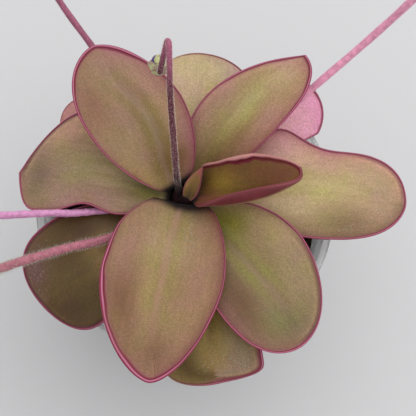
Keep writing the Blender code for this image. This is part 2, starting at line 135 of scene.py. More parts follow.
SCAPES = {
    "scape_centre": (0.9, 0.6, [
        (-1.6, 0.4, 80.9), (-2.2, 4.0, 88), (-2.8, 11.4, 99), (-3.3, 17.9, 107), (-3.5, 22.6, 112),
        (-3.5, 26.5, 115.9), (-3.5, 29.5, 118.9), (-3.6, 31.2, 119.5), (-4.0, 32.4, 118.5),
        (-4.4, 32.0, 116.9), (-4.9, 30.6, 115.2), (-5.5, 29.0, 113.3), (-5.95, 27.6, 111.6),
        (-6.2, 26.9, 110.4), (-6.3, 27.1, 109.3), (-6.4, 27.9, 108.5),
    ]),
    "scape_upper_left": (1.1, 0.8, [
        (-2.5, 4.0, 74.4), (-8, 14.5, 77), (-17.8, 31.1, 83.5), (-28.3, 44.8, 88), (-36.8, 55.2, 95),
        (-44, 66, 106), (-48.5, 75, 118), (-52, 82, 125.5), (-55.5, 87.5, 127),
    ]),
    "scape_upper_right": (1.1, 0.8, [
        (3.7, 3.5, 71.9), (10.5, 9.5, 73.2), (19.5, 17.2, 75.7), (34.9, 30.2, 80.5), (53.6, 43.3, 93),
        (64.4, 48.1, 112), (70, 52, 122), (76.5, 56.5, 130), (83, 61, 132.5),
    ]),
    "scape_left": (0.95, 0.8, [
        (-5.2, -0.5, 73.4), (-14, -2.4, 74.8), (-25, -3.7, 76.2), (-30.5, -4.6, 77.5),
        (-34.5, -5.3, 79.3), (-38.5, -5.7, 81.2), (-46, -6.7, 83.6), (-52.5, -8, 87.2),
        (-63, -9.6, 94), (-71, -11.4, 101.5), (-77, -12.7, 106.5), (-83, -14, 107.5),
    ]),
    "scape_lower_left": (1.25, 0.9, [
        (-3.9, -2.9, 74.5), (-12, -6.8, 75.2), (-22.1, -12.2, 77), (-34.1, -16.2, 81),
        (-45.3, -22.0, 90), (-49.9, -25.8, 98), (-55, -30, 109), (-60.5, -34, 119), (-66, -38, 124.5),
        (-72, -42, 125),
    ]),
}

# ---------------------------------------------------------------- looks

SHINE = 0.014
DAYLIGHT = 1.12


def tone(red, green, blue):
    """A colour as it looks, from 0 to 255, turned into linear light for the shader."""
    return tuple(((c / 255 + 0.055) / 1.055) ** 2.4 for c in (red, green, blue))


def skin(red, green, blue):
    """A leaf colour as it looks in soft daylight, less the light the skin itself throws back."""
    return tuple(max(c - SHINE, 0.004) / DAYLIGHT for c in tone(red, green, blue))


def edge(flush, depth, strength, rim, pink=1.0, fold=None):
    """One margin's look: the flush along it, with its depth in mm, and the rolled rim's size at the
    foot, the middle and the tip. A fold (drop, start, reach, colour, strength) bends the margin
    down and paints the turned-down band in its colour, partly the band's own and partly painted
    shade, with a painted highlight along the shoulder where it turns.
    """
    fold = fold or (0.0, 0.5, 3.0, flush, 0.0)
    return {
        "flush": skin(*flush), "depth": depth, "strength": strength, "rim": rim, "pink": pink,
        "fold": (*fold[:3], skin(*fold[3]), fold[4]),
    }


def vein(shift, line, strength, bands, band_strength, offset=1.9, width=1.3, wrinkles=0.0):
    """The visible midrib: its shift towards the left at three places, its own colour, and the
    coloured bands at a distance on both sides."""
    return {
        "shift": shift, "line": skin(*line), "line_strength": strength, "bands": skin(*bands),
        "band_strength": band_strength, "offset": offset, "width": width, "wrinkles": wrinkles,
    }


# The rim's wall, a painted highlight along its crest, and the crease inside it
RIMS = ((150, 58, 84), (196, 122, 148), (126, 48, 66))
ROSE = skin(166, 100, 118)


def look(blade, patches, left, right, rib, under=(142, 92, 84), light=1.0, rims=RIMS, ears=(0.0, 0.0),
         blush=0.35, crease=(2.1, 1.15)):
    """One leaf's colours.

    Patches are (along, across, length, width, colour, strength), where along runs from the foot, 0,
    to the tip, 1, and across from the right margin, -1, to the left, 1. Light brightens a leaf's
    colours, painted light that makes up for how much its neighbours shade it. Rims are the rolled
    margin's wall, a painted highlight along its crest and the crease inside it, and a fourth colour
    is the left wall's own. Ears carry the two sides of the blade's foot back, in mm. Blush is the
    strength of the rose band inside the rim. Crease is how far in the crease's colour starts, and
    where it is full.
    """
    return {
        "blade": skin(*blade), "patches": [(*patch[:4], skin(*patch[4]), patch[5]) for patch in patches],
        "edges": (left, right), "vein": rib, "under": skin(*under), "light": light,
        "rims": [skin(*rim) for rim in rims], "ears": ears, "blush": blush, "crease": crease,
    }


LOOKS = {
    "leaf_centre_new": look(
        (138, 110, 66),
        [
            # The near black patch at the foot is painted shade from the plant's heart
            (0.95, 0, 0.16, 1.5, (172, 80, 98), 0.85), (0.0, 0, 0.38, 1.5, (30, 18, 14), 0.95),
            (0.5, 0.8, 0.3, 0.35, (170, 134, 90), 0.6), (0.45, -0.9, 0.3, 0.3, (90, 64, 44), 0.6),
        ],
        edge((170, 120, 88), 0.7, 0.4, (0.2, 0.25, 0.2), 0.4),
        edge((150, 100, 75), 0.7, 0.5, (0.2, 0.25, 0.2), 0.6),
        vein((0, 0, 0), (140, 110, 70), 0.2, (140, 115, 60), 0.2, 0.8, 0.5),
    ),
    "leaf_young_folded": look(
        (107, 77, 50),
        [
            (0.25, 0.3, 0.16, 0.4, (126, 101, 42), 0.85), (0.85, 0.2, 0.25, 0.6, (106, 66, 52), 0.8),
            # The near black patch at the foot is painted shade from the plant's heart
            (0.0, 0.3, 0.15, 1.2, (30, 14, 16), 1.0), (0.15, -0.3, 0.15, 0.4, (114, 66, 58), 0.8),
        ],
        edge((128, 108, 60), 0.9, 0.6, (0.8, 1.4, 1.0)),
        edge((122, 74, 56), 1.6, 0.5, (0.25, 0.3, 0.4)),
        vein((0, 0, 0), (112, 80, 44), 0.2, (106, 82, 40), 0.3), (122, 56, 62), 1.42,
        ((126, 66, 70), (176, 104, 116), (124, 46, 58), (196, 140, 134)), blush=0.0, crease=(2.5, 2.0),
    ),
    "leaf_upper_left": look(
        (156, 127, 104),
        [
            (0.72, 0.66, 0.24, 0.35, (140, 103, 83), 0.9), (0.55, -0.5, 0.3, 0.3, (172, 137, 112), 0.85),
            (0.92, 0, 0.1, 0.7, (148, 118, 97), 0.7), (0.16, -0.2, 0.14, 0.6, (106, 72, 34), 0.9),
            (0.14, 0.8, 0.16, 0.4, (168, 138, 96), 0.85),
            (0.35, 0.45, 0.15, 0.3, (152, 124, 98), 0.7), (0.38, -0.1, 0.16, 0.2, (142, 120, 84), 0.7),
        ],
        edge((138, 92, 84), 1.8, 0.7, (0.35, 0.45, 0.7)),
        edge((148, 84, 96), 2.6, 1.0, (0.25, 0.3, 1.0), 0.9, (0.8, 0.66, 1.2, (150, 92, 98), 0.4)),
        vein((-0.7, -2.3, 0.2), (150, 128, 112), 0.4, (126, 108, 62), 0.6, 2.4, 1.8), light=1.08,
    ),
    "leaf_front": look(
        (153, 123, 92),
        [
            (0.24, -0.12, 0.14, 0.35, (180, 160, 120), 0.9), (0.3, 0.4, 0.15, 0.25, (164, 138, 102), 0.7),
            (0.6, -0.66, 0.24, 0.32, (124, 88, 66), 0.9), (0.92, 0, 0.12, 0.7, (128, 96, 72), 0.8),
            (0.45, 0.58, 0.3, 0.25, (158, 120, 98), 0.7), (0.3, -0.75, 0.14, 0.25, (158, 122, 102), 0.8),
            # The near black patch at the foot is painted shade from the plant's heart
            (0.0, 0.3, 0.08, 0.6, (44, 22, 26), 0.95), (0.14, 0.05, 0.08, 0.3, (152, 130, 84), 0.7),
            (0.5, -0.25, 0.25, 0.2, (164, 138, 96), 0.7),
        ],
        edge((126, 66, 68), 2.3, 1.0, (0.2, 0.4, 0.7)),
        edge((134, 92, 80), 1.6, 0.7, (0.35, 1.1, 1.15)),
        vein((-2.1, -2.4, -2.3), (174, 134, 116), 0.55, (150, 132, 82), 0.5, 2.4, 1.8, 1.0),
        ears=(1.2, 2.0),
    ),
    "leaf_upper_right": look(
        (152, 128, 87),
        [
            (0.6, 0.08, 0.2, 0.3, (177, 168, 112), 0.9), (0.9, 0, 0.14, 1.0, (184, 156, 126), 0.85),
            (0.6, -0.6, 0.3, 0.3, (172, 138, 114), 0.8), (0.16, 0, 0.18, 1.0, (94, 66, 28), 0.95),
            (0.35, -0.3, 0.15, 0.3, (134, 108, 70), 0.7), (0.5, 0.6, 0.3, 0.3, (160, 132, 106), 0.8),
        ],
        edge((178, 130, 124), 2.4, 0.95, (0.3, 0.4, 0.6), 0.9, (0.8, 0.5, 1.4, (160, 108, 104), 0.4)),
        edge((156, 100, 98), 3.6, 0.9, (0.2, 0.35, 0.7)),
        vein((3.8, 2.5, 1.1), (168, 152, 112), 0.2, (160, 148, 92), 0.3, 2.4, 2.2), light=1.1,
    ),
    "leaf_front_right": look(
        (143, 122, 91),
        [
            (0.22, 0.4, 0.14, 0.35, (124, 118, 36), 0.95), (0.62, -0.5, 0.24, 0.4, (110, 82, 60), 0.9),
            (0.25, -0.6, 0.2, 0.4, (108, 84, 56), 0.8), (0.6, 0.6, 0.3, 0.35, (156, 134, 102), 0.8),
            (0.96, 0, 0.12, 0.7, (118, 106, 76), 0.8), (0.38, 0.8, 0.14, 0.25, (180, 154, 116), 0.9),
            (0.85, -0.1, 0.1, 0.25, (122, 120, 78), 0.6), (0.45, 0.3, 0.15, 0.2, (148, 130, 84), 0.7),
        ],
        edge((146, 94, 94), 1.2, 0.7, (0.35, 0.4, 0.4), 1.0, (1.2, 0.42, 1.5, (114, 80, 72), 0.8)),
        edge((138, 84, 86), 2.8, 0.8, (0.35, 0.5, 0.5)),
        vein((1.3, 2.2, 2.5), (152, 130, 104), 0.45, (142, 136, 74), 0.55, 2.2, 1.7),
    ),
    "leaf_left": look(
        (138, 118, 92),
        [
            (0.55, -0.25, 0.25, 0.2, (154, 132, 112), 0.9), (0.42, -0.2, 0.14, 0.25, (166, 148, 110), 0.9),
            (0.66, -0.78, 0.25, 0.28, (184, 146, 122), 0.9), (0.55, 0.6, 0.25, 0.4, (142, 110, 98), 0.8),
            # The dark olive patch at the foot is a painted shadow of the upper left leaf
            (0.13, -0.2, 0.13, 0.8, (98, 90, 48), 0.9), (0.95, 0, 0.12, 0.9, (112, 92, 80), 0.85),
            (0.7, -0.45, 0.12, 0.2, (146, 122, 94), 0.5),
        ],
        edge((148, 106, 102), 2.0, 0.8, (0.3, 0.5, 0.4)),
        edge((130, 94, 84), 1.8, 0.4, (0.4, 0.45, 0.4), 1.0, (1.3, 0.35, 1.6, (106, 70, 70), 0.9)),
        vein((-2.5, -4.6, -3.0), (146, 134, 96), 0.2, (132, 122, 74), 0.55, 2.0, 1.8), light=1.26,
    ),
    "leaf_right": look(
        (176, 152, 112),
        [
            (0.6, 0.15, 0.2, 0.3, (190, 172, 124), 0.9), (0.42, 0.85, 0.15, 0.45, (218, 160, 170), 0.95),
            (0.68, 0.62, 0.2, 0.3, (192, 160, 130), 0.8), (0.7, -0.62, 0.18, 0.38, (134, 112, 80), 0.95),
            (0.95, 0, 0.08, 0.8, (168, 142, 114), 0.8), (0.42, -0.25, 0.15, 0.3, (192, 170, 136), 0.8),
            (0.1, 0, 0.12, 1.0, (128, 108, 67), 0.8), (0.85, 0.5, 0.12, 0.25, (182, 152, 128), 0.6),
        ],
        edge((180, 104, 122), 2.2, 0.95, (0.35, 0.4, 0.5), 0.85, (1.0, 0.7, 1.6, (138, 98, 94), 0.8)),
        edge((108, 70, 62), 3.0, 0.9, (0.4, 0.45, 0.5), 0.9),
        vein((3.6, 4.6, 2.5), (185, 171, 125), 0.25, (172, 160, 100), 0.45, 2.6, 1.8), light=1.06,
    ),
    "leaf_lower_left": look(
        (90, 73, 48),
        [
            (0.45, 0.5, 0.25, 0.3, (82, 64, 36), 0.8), (0.5, -0.1, 0.13, 0.4, (172, 142, 100), 0.9),
            (0.79, -0.2, 0.13, 0.4, (92, 76, 52), 0.7), (0.89, -0.7, 0.12, 0.35, (104, 80, 74), 0.9),
            (0.12, 0, 0.15, 1.0, (84, 69, 36), 0.8), (0.9, 0.55, 0.12, 0.35, (74, 57, 42), 0.85),
            (0.52, -0.55, 0.14, 0.3, (68, 50, 34), 0.9),
        ],
        edge((78, 56, 48), 2.0, 0.5, (0.4, 0.5, 0.45), 0.9, (1.0, 0.4, 1.2, (66, 42, 44), 0.85)),
        edge((92, 65, 60), 2.0, 0.6, (0.4, 0.5, 0.45), 0.9, (1.0, 0.4, 1.2, (66, 42, 44), 0.85)),
        vein((0.2, 0.6, 0), (100, 86, 52), 0.15, (103, 91, 48), 0.4), (100, 62, 60), 1.32,
    ),
    "leaf_front_under": look(
        (140, 118, 74),
        [
            (0.85, -0.1, 0.3, 0.12, (138, 116, 66), 0.8), (0.92, -0.6, 0.3, 0.35, (80, 62, 34), 0.9),
            (0.93, 0.6, 0.2, 0.35, (132, 114, 98), 0.8), (0.2, 0, 0.25, 1.0, (76, 60, 37), 0.9),
        ],
        edge((124, 82, 77), 1.5, 0.6, (0.3, 0.5, 0.8), 0.9, (1.2, 0.75, 1.8, (112, 60, 66), 0.9)),
        edge((110, 88, 67), 2.0, 0.4, (0.3, 0.3, 0.3), 0.15),
        vein((0, 0.8, 0.6), (86, 68, 32), 0.5, (140, 121, 62), 0.6, 2.0, 1.4), light=1.28,
    ),
    "leaf_back": look(
        (192, 170, 136),
        [
            (0.66, -0.3, 0.16, 0.2, (206, 186, 108), 0.9), (0.85, -0.8, 0.2, 0.35, (170, 146, 132), 0.9),
            (0.95, 0.2, 0.12, 0.7, (186, 162, 134), 0.7), (0.72, 0.2, 0.15, 0.3, (196, 174, 134), 0.7),
        ],
        edge((186, 152, 134), 2.2, 0.6, (0.2, 0.25, 0.25), 0.15),
        edge((178, 142, 130), 2.4, 0.8, (0.25, 0.35, 0.35), 0.9),
        vein((0, 0, 0.5), (198, 162, 146), 0.4, (188, 168, 126), 0.3), light=1.1,
    ),
    "leaf_left_under": look(
        (180, 132, 124), [],
        edge((182, 124, 124), 2.0, 0.6, (0.25, 0.25, 0.25), 0.15),
        edge((182, 124, 124), 2.0, 0.6, (0.25, 0.25, 0.25), 0.15),
        vein((0, 0, 0), (180, 140, 130), 0.2, (176, 134, 116), 0.3), light=1.27,
    ),
    "leaf_right_under": look(
        # Its bright pink is partly its own colour and partly painted light, for light coming through the thin
        # leaf
        (213, 158, 174), [(0.7, 0.6, 0.3, 0.3, (207, 148, 168), 0.7)],
        edge((198, 122, 152), 1.8, 0.8, (0.3, 0.45, 0.4), 0.9),
        edge((207, 142, 166), 2.0, 0.6, (0.3, 0.4, 0.4), 0.9),
        vein((0, 0, 0), (230, 186, 196), 0.6, (210, 154, 170), 0.3), (176, 116, 136), 1.27,
    ),
}
KEEL_PALE = skin(168, 134, 96)
# Painted shade: the near black that stands for the shade deep in the rosette's heart
HEART_SHADE = tone(22, 10, 13)
HOOK_PINK = tone(158, 84, 112)
# Painted shade at the plant's heart: the share of a leaf's length over which its foot is painted near
# black, and the heights, in mm, over which a stalk and its hairs come out of that painted shade and
# the hook turns pink
LEAF_FOOT = (0.06, 0.01)
STALK_FOOT = (3, 12)
HAIR_FOOT = (1, 8)
HOOK_TOP = (-9, -1)

STEM_MIDDLE = {
    "scape_centre": 0.80, "scape_upper_left": 0.95, "scape_upper_right": 1.12, "scape_left": 1.06,
    "scape_lower_left": 1.25,
}
SCAPE_LOOKS = {
    "scape_centre": (tone(86, 24, 44), tone(232, 212, 206), 6500, 0.46),
    "scape_upper_left": (tone(150, 82, 106), tone(200, 155, 168), 6000, 0.36),
    "scape_upper_right": (tone(226, 152, 180), tone(236, 196, 208), 6000, 0.36),
    "scape_left": (tone(203, 140, 182), tone(220, 178, 206), 5000, 0.26),
    "scape_lower_left": (tone(176, 104, 120), tone(205, 198, 186), 6000, 1.0),
}


class Graph:
    """A node material, and short ways to add its nodes."""

    def __init__(self, name, **sockets):
        self.material = bpy.data.materials.new(name)
        self.material.use_nodes = True
        self.tree = self.material.node_tree
        self.shader = self.tree.nodes["Principled BSDF"]
        for socket, value in sockets.items():
            self.shader.inputs[socket.replace("_", " ")].default_value = value

    def add(self, kind, *inputs, **settings):
        node = self.tree.nodes.new("ShaderNode" + kind)
        for name, value in settings.items():
            setattr(node, name, value)
        for socket, value in zip(node.inputs, inputs):
            self.put(value, socket)
        return node

    def put(self, value, socket):
        if isinstance(value, bpy.types.NodeSocket):
            self.tree.links.new(value, socket)
        elif value is not None:
            if isinstance(value, tuple) and socket.type == "RGBA":
                value = (*value, 1.0)
            socket.default_value = value

    def math(self, operation, first, second=None):
        return self.add("Math", first, second, operation=operation).outputs[0]

    def plus(self, first, second):
        return self.math("ADD", first, second)

    def times(self, first, second):
        return self.math("MULTIPLY", first, second)

    def attribute(self, name):
        return self.add("Attribute", attribute_name=name).outputs["Fac"]

    def fade(self, value, start, end, low=0.0, high=1.0):
        """Goes smoothly from low at start to high at end; start may be above end."""
        node = self.add("MapRange", value, interpolation_type="SMOOTHSTEP")
        for name, amount in zip(("From Min", "From Max", "To Min", "To Max"), (start, end, low, high)):
            node.inputs[name].default_value = amount
        return node.outputs[0]

    def rise(self, start, heights):
        """Goes smoothly from 0 to 1 between two heights in millimetres above the start."""
        place = self.add("SeparateXYZ", self.add("TexCoord").outputs["Object"])
        low, high = heights
        return self.fade(place.outputs["Z"], (start + low) * MM, (start + high) * MM)

    def noise(self, size, detail=2.0):
        """Noise from 0 to 1 whose features are about size millimetres across."""
        node = self.add("TexNoise")
        node.inputs["Scale"].default_value = 1 / (size * MM)
        node.inputs["Detail"].default_value = detail
        self.tree.links.new(self.add("TexCoord").outputs["Object"], node.inputs["Vector"])
        return node.outputs["Fac"]

    def mix(self, amount, first, second, blend="MIX"):
        node = self.add("Mix", data_type="RGBA", blend_type=blend)
        self.put(amount, node.inputs["Factor"])
        self.put(first, node.inputs[6])
        self.put(second, node.inputs[7])
        return node.outputs[2]

    def bump(self, height, distance, strength=1.0):
        node = self.add("Bump")
        node.inputs["Strength"].default_value = strength
        node.inputs["Distance"].default_value = distance * MM
        self.tree.links.new(height, node.inputs["Height"])
        self.tree.links.new(node.outputs[0], self.shader.inputs["Normal"])

    def colour(self, value):
        self.put(value, self.shader.inputs["Base Color"])

    def roughness(self, value):
        self.put(value, self.shader.inputs["Roughness"])


def leaf_material(name, look):
    """A leaf's finish: its painted tint, with grain, the visible midrib, the rim with a painted
    highlight on its crest, the underside, and painted shade at its foot.
    """
    graph = Graph(
        name + "_finish", Roughness=0.48, Specular_IOR_Level=0.25, Sheen_Weight=0.05,
        Sheen_Roughness=0.45, Sheen_Tint=(1.0, 0.88, 0.88, 1.0),
    )
    margin, across, along = (graph.attribute(key) for key in ("margin", "across", "along"))
    under, pink, rib = (graph.attribute(key) for key in ("under", "pink", "rib"))
    broad, mottle = graph.noise(9), graph.noise(2.4)
    flecks, grain = graph.noise(0.6), graph.noise(0.3, 1.0)
    place = graph.add("CombineXYZ", graph.times(across, 0.8), graph.times(along, 7.0))
    streaks = graph.add("TexNoise")
    streaks.inputs["Scale"].default_value = 1.0
    streaks.inputs["Detail"].default_value = 3.0
    graph.tree.links.new(place.outputs[0], streaks.inputs["Vector"])
    streaks = streaks.outputs["Fac"]

    colour = graph.add("Attribute", attribute_name="tint").outputs["Color"]
    # The broad olive and mauve tints are brightened by the leaf's light: painted light that makes up for the
    # shade its neighbours cast
    brightened_olive, brightened_mauve = (tuple(c * look["light"] for c in shift) for shift in ((0.98, 1.04, 0.86), (1.03, 0.96, 1.06)))
    shifts = (
        (broad, 0.3, 0.7, brightened_olive, brightened_mauve),
        (streaks, 0.3, 0.7, (0.95, 0.95, 0.94), (1.05, 1.05, 1.06)),
        (mottle, 0.3, 0.7, (0.97, 0.98, 0.95), (1.03, 1.02, 1.05)),
        (flecks, 0.32, 0.72, (0.92, 0.92, 0.91), (1.09, 1.09, 1.10)),
        (grain, 0.3, 0.75, (0.90, 0.90, 0.90), (1.13, 1.13, 1.14)),
    )
    for noise, low, high, dark, bright in shifts:
        colour = graph.mix(1.0, colour, graph.mix(graph.fade(noise, low, high), dark, bright), "MULTIPLY")
    ragged = graph.plus(graph.math("ABSOLUTE", rib), graph.fade(mottle, 0.3, 0.7, -0.5, 0.5))
    line = graph.times(graph.fade(ragged, 1.9, 0.0), graph.fade(along, 0.95, 0.6, 0.0, 1.0))
    line = graph.times(line, graph.fade(streaks, 0.3, 0.6, 0.5, 1.0))
    line = graph.times(line, look["vein"]["line_strength"])
    colour = graph.mix(line, colour, look["vein"]["line"])

    wall, top, crease, *left_wall = look["rims"]
    if left_wall:
        wall = graph.mix(graph.fade(across, -0.5, 0.5), wall, left_wall[0])
    blush = graph.times(graph.fade(margin, 3.2, 1.2, 0.0, look["blush"]), pink)
    colour = graph.mix(blush, colour, ROSE)
    colour = graph.mix(graph.times(graph.fade(margin, *look["crease"]), pink), colour, crease)
    # A painted highlight along the rim's crest, where light would catch the top of the roll
    crest_highlight = graph.times(graph.fade(margin, 0.35, 0.6), graph.fade(margin, 1.05, 0.75))
    crest = graph.mix(crest_highlight, wall, top)
    colour = graph.mix(graph.times(graph.fade(margin, 1.15, 0.85), pink), colour, crest)
    below = graph.mix(graph.fade(mottle, 0.35, 0.65), look["under"], tuple(0.8 * c for c in look["under"]))
    below = graph.mix(graph.fade(graph.math("ABSOLUTE", across), 6.2, 4.6), below, KEEL_PALE)
    below = graph.mix(graph.fade(margin, 6.0, 0.8, 0.0, 0.9), below, wall)
    colour = graph.mix(under, colour, below)
    # Painted shade: the foot goes near black where it goes into the shade of the plant's heart
    graph.colour(graph.mix(graph.fade(along, *LEAF_FOOT), colour, HEART_SHADE))
    dull = graph.fade(along, *LEAF_FOOT, 0.0, 0.4)
    graph.roughness(graph.plus(graph.fade(mottle, 0.3, 0.7, 0.42, 0.55), dull))
    fine = graph.plus(flecks, graph.times(grain, 0.6))
    ripple = graph.math("SINE", graph.times(along, 430.0))
    ripple = graph.times(ripple, graph.fade(ragged, 3.6, 0.8, 0.0, look["vein"]["wrinkles"]))
    graph.bump(graph.plus(fine, ripple), 0.13, 0.5)
    return graph.material


# ---------------------------------------------------------------- meshes


def mesh_from(name, points, faces, values=None):
    """A smooth mesh from points in millimetres, with one number per point for each named value."""
    mesh = bpy.data.meshes.new(name)
    mesh.from_pydata((np.asarray(points, float) * MM).tolist(), [], faces)
    for key, numbers in (values or {}).items():
        numbers = np.asarray(numbers, np.float32)
        colours = numbers.ndim == 2
        attribute = mesh.attributes.new(key, "FLOAT_COLOR" if colours else "FLOAT", "POINT")
        attribute.data.foreach_set("color" if colours else "value", numbers.ravel())
    mesh.shade_smooth()
    return mesh


def add_object(name, data):
    made = bpy.data.objects.new(name, data)
    bpy.context.scene.collection.objects.link(made)
    return made


def add_piece(name, mesh, material, replaces=()):
    """A piece of the plant, which takes the given finish and stands for the replaced nodes."""
    made = add_object(name, mesh)
    mesh.materials.append(material)
    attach(made, "root")
    for node in replaces:
        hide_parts(node)
    return made


def tidy(mesh, distance=0.002):
    """Joins points that lie together, and turns every face outward."""
    work = bmesh.new()
    work.from_mesh(mesh)
    bmesh.ops.remove_doubles(work, verts=work.verts, dist=distance * MM)
    bmesh.ops.recalc_face_normals(work, faces=work.faces)
    work.to_mesh(mesh)
    work.free()
    mesh.shade_smooth()


def grid_faces(rows, columns, start=0, around=False):
    """Quads over a grid of points numbered row by row; around joins the last column to the first."""
    faces = []
    for row in range(rows - 1):
        for column in range(columns if around else columns - 1):
            after = (column + 1) % columns
            low, high = start + row * columns, start + (row + 1) * columns
            faces.append([low + column, low + after, high + after, high + column])
    return faces


def tube_faces(rings, sides):
    """Quads round a tube of rings, with a cap on each end."""
    last = (rings - 1) * sides
    caps = [list(range(sides))[::-1], list(range(last, last + sides))]
    return grid_faces(rings, sides, around=True) + caps


def circle(count):
    """Angles at even steps once round."""
    return np.linspace(0, 2 * math.pi, count, endpoint=False)


def ring_points(radius, turns, height):
    """Points round the upright axis at the given angles."""
    return np.stack([radius * np.cos(turns), radius * np.sin(turns), height + 0 * turns], 1)


def spread(values, u):
    """A smooth curve through the values at a leaf's foot, middle and tip."""
    foot, middle, tip = values
    return foot * (1 - u) * (1 - 2 * u) + 4 * middle * u * (1 - u) + tip * u * (2 * u - 1)


def midrib(shape, steps=80):
    """Places and directions along a leaf's midrib: (u, point, across, up)."""
    u = np.linspace(0, 1, steps + 1)
    pitch = np.radians(spread(shape["pitch"], u))
    heading = np.radians(shape["azimuth"] + shape["bend"] * u ** 2)
    level = np.cos(pitch)
    along = np.stack([level * np.cos(heading), level * np.sin(heading), np.sin(pitch)], 1)
    across = np.stack([-np.sin(heading), np.cos(heading), 0 * heading], 1)
    up = np.cross(along, across)
    azimuth = math.radians(shape["azimuth"])
    crown = float(np.interp(shape["height"], *zip(*CROWN_PROFILE)))
    clear = crown + CONTACT_GAP + CAD_BLADE / 2 * math.sin(pitch[0])
    foot = np.array([clear * math.cos(azimuth), clear * math.sin(azimuth), shape["height"]])
    if shape["at"]:
        foot = np.array(shape["at"])
    stride = (along[1:] + along[:-1]) / 2 * shape["length"] / steps
    point = np.vstack([foot, foot + np.cumsum(stride, axis=0)])
    return u, point, across, up


def half_width(shape, u, side):
    """The distance from a leaf's centre line out to one margin."""
    full, widest = shape["half"][side], shape["widest"][side]
    swell = np.sin(math.pi / 2 * np.clip(u / widest, 0, 1)) ** shape["shoulder"][side]
    rise = shape["foot"] + (full - shape["foot"]) * swell
    past = np.clip((u - widest) / (1 - widest), 0, 1)
    fall = full * np.clip(1 - past ** shape["fullness"][side], 0, 1) ** shape["point"][side]
    width = np.where(u < widest, rise, fall)
    if shape["lobe"] and shape["lobe"][0] == side:
        _, place, reach, extra = shape["lobe"]
        width = width + extra * np.exp(-(((u - place) / reach) ** 2)) * np.clip(u / 0.1, 0, 1)
    return width


def blade_points(shape, rib, x, y, lift, side):
    """The places in space of flat leaf points (x along, y to the left), lifted off the blade."""
    u, point, across, up = rib
    reach = x / shape["length"]
    here, left, high = (
        np.stack([np.interp(reach, u, part[:, k]) for k in range(3)], -1) for part in (point, across, up)
    )
    foot, tip = shape["roll"][side] if shape["roll"] else shape["cup"]
    bow = np.maximum(foot * (1 - reach) + tip * reach, 1e-5)
    turn = bow * y
    here = here + np.cross(left, high) * np.minimum(x, 0)[..., None]
    place = here + left * (np.sin(turn) / bow)[..., None] + high * ((1 - np.cos(turn)) / bow)[..., None]
    if shape["wave"] and shape["wave"][0] == side:
        _, centre, width, rise = shape["wave"]
        out = np.clip(np.abs(y) / shape["half"][side], 0, 1.2)
        raised = rise * np.exp(-(((reach - centre) / width) ** 2)) * out ** 2
        place = place + high * raised[..., None]
    normal = high * np.cos(turn)[..., None] - left * np.sin(turn)[..., None]
    return place + normal * lift[..., None]


HALF_BLADE = BLADE / 2
BEAD_RADIUS = 0.5
BEAD_CENTRE = (0.55, 0.95)
STATIONS = 84
STATION_CROWDING = 1.8
TOP_ROWS = 30
ROW_CROWDING = 1.15
UNDER_ROWS = 9
TIP_START = 0.93
EAR_REACH = 0.09
PHASE_STEP = 1.7


def rim_section():
    """The rolled margin, as (distance in, height): up off the blade's top, over a bead and under."""
    approach = [(2.0, 0.48), (1.65, 0.55), (1.35, 0.70), (1.12, 0.90)]
    bead = []
    for angle in np.radians(np.linspace(155, -20, 11)):
        inset = BEAD_CENTRE[0] - BEAD_RADIUS * math.cos(angle)
        bead.append((inset, BEAD_CENTRE[1] + BEAD_RADIUS * math.sin(angle)))
    below = [(0.3, 0.35), (0.65, 0.0), (1.2, -0.3), (1.8, -0.42)]
    return approach + bead + below


def stations():
    """Shares of a leaf's length from its foot to its tip, closest together at the tip."""
    return 1 - (1 - np.linspace(0, 1, STATIONS + 1)) ** STATION_CROWDING


def rib_shift(look, u):
    """How far the visible midrib lies from the blade's centre line, towards the left."""
    quarter, middle, late = look["vein"]["shift"]
    return np.polyval(np.polyfit([0, 0.25, 0.5, 0.75, 1], [0, quarter, middle, late, 0], 4), u)


def relief(shape, u, out, rib_distance, phase):
    """The blade's gentle form: each half a pillow, a soft channel over the midrib, and slow waves."""
    ends = np.clip(np.minimum(u, 1 - u) / 0.2, 0, 1)
    width = max(shape["half"])
    inner = np.sin(math.pi * np.clip(out, 0, 1)) * ends
    channel = 0.3 * np.exp(-((rib_distance / 1.5) ** 2))
    channel = channel * np.clip((1 - u) / 0.5, 0, 1) * np.clip(u / 0.1, 0, 1)
    slow = np.sin(7.3 * u + phase) * np.cos(3.1 * out + 2 * phase)
    slow += 0.6 * np.sin(12.1 * u + 2.7 * phase + 4 * out)
    return shape["thick"] * (0.03 * width * inner - channel + 0.014 * width * slow * inner)


def blend(colour, weight, target):
    return colour + weight[:, None] * (np.array(target) - colour)


def shares(across):
    """How much a point takes after its left margin and its right one, shading over at the midrib."""
    left = np.clip(across / 6 + 0.5, 0, 1)
    left = left * left * (3 - 2 * left)
    return left, 1 - left


def fold_amount(edge_look, u):
    """How far along the leaf the margin's fold has come in, from 0 to 1."""
    return np.clip((u - edge_look["fold"][1]) / 0.15, 0, 1)


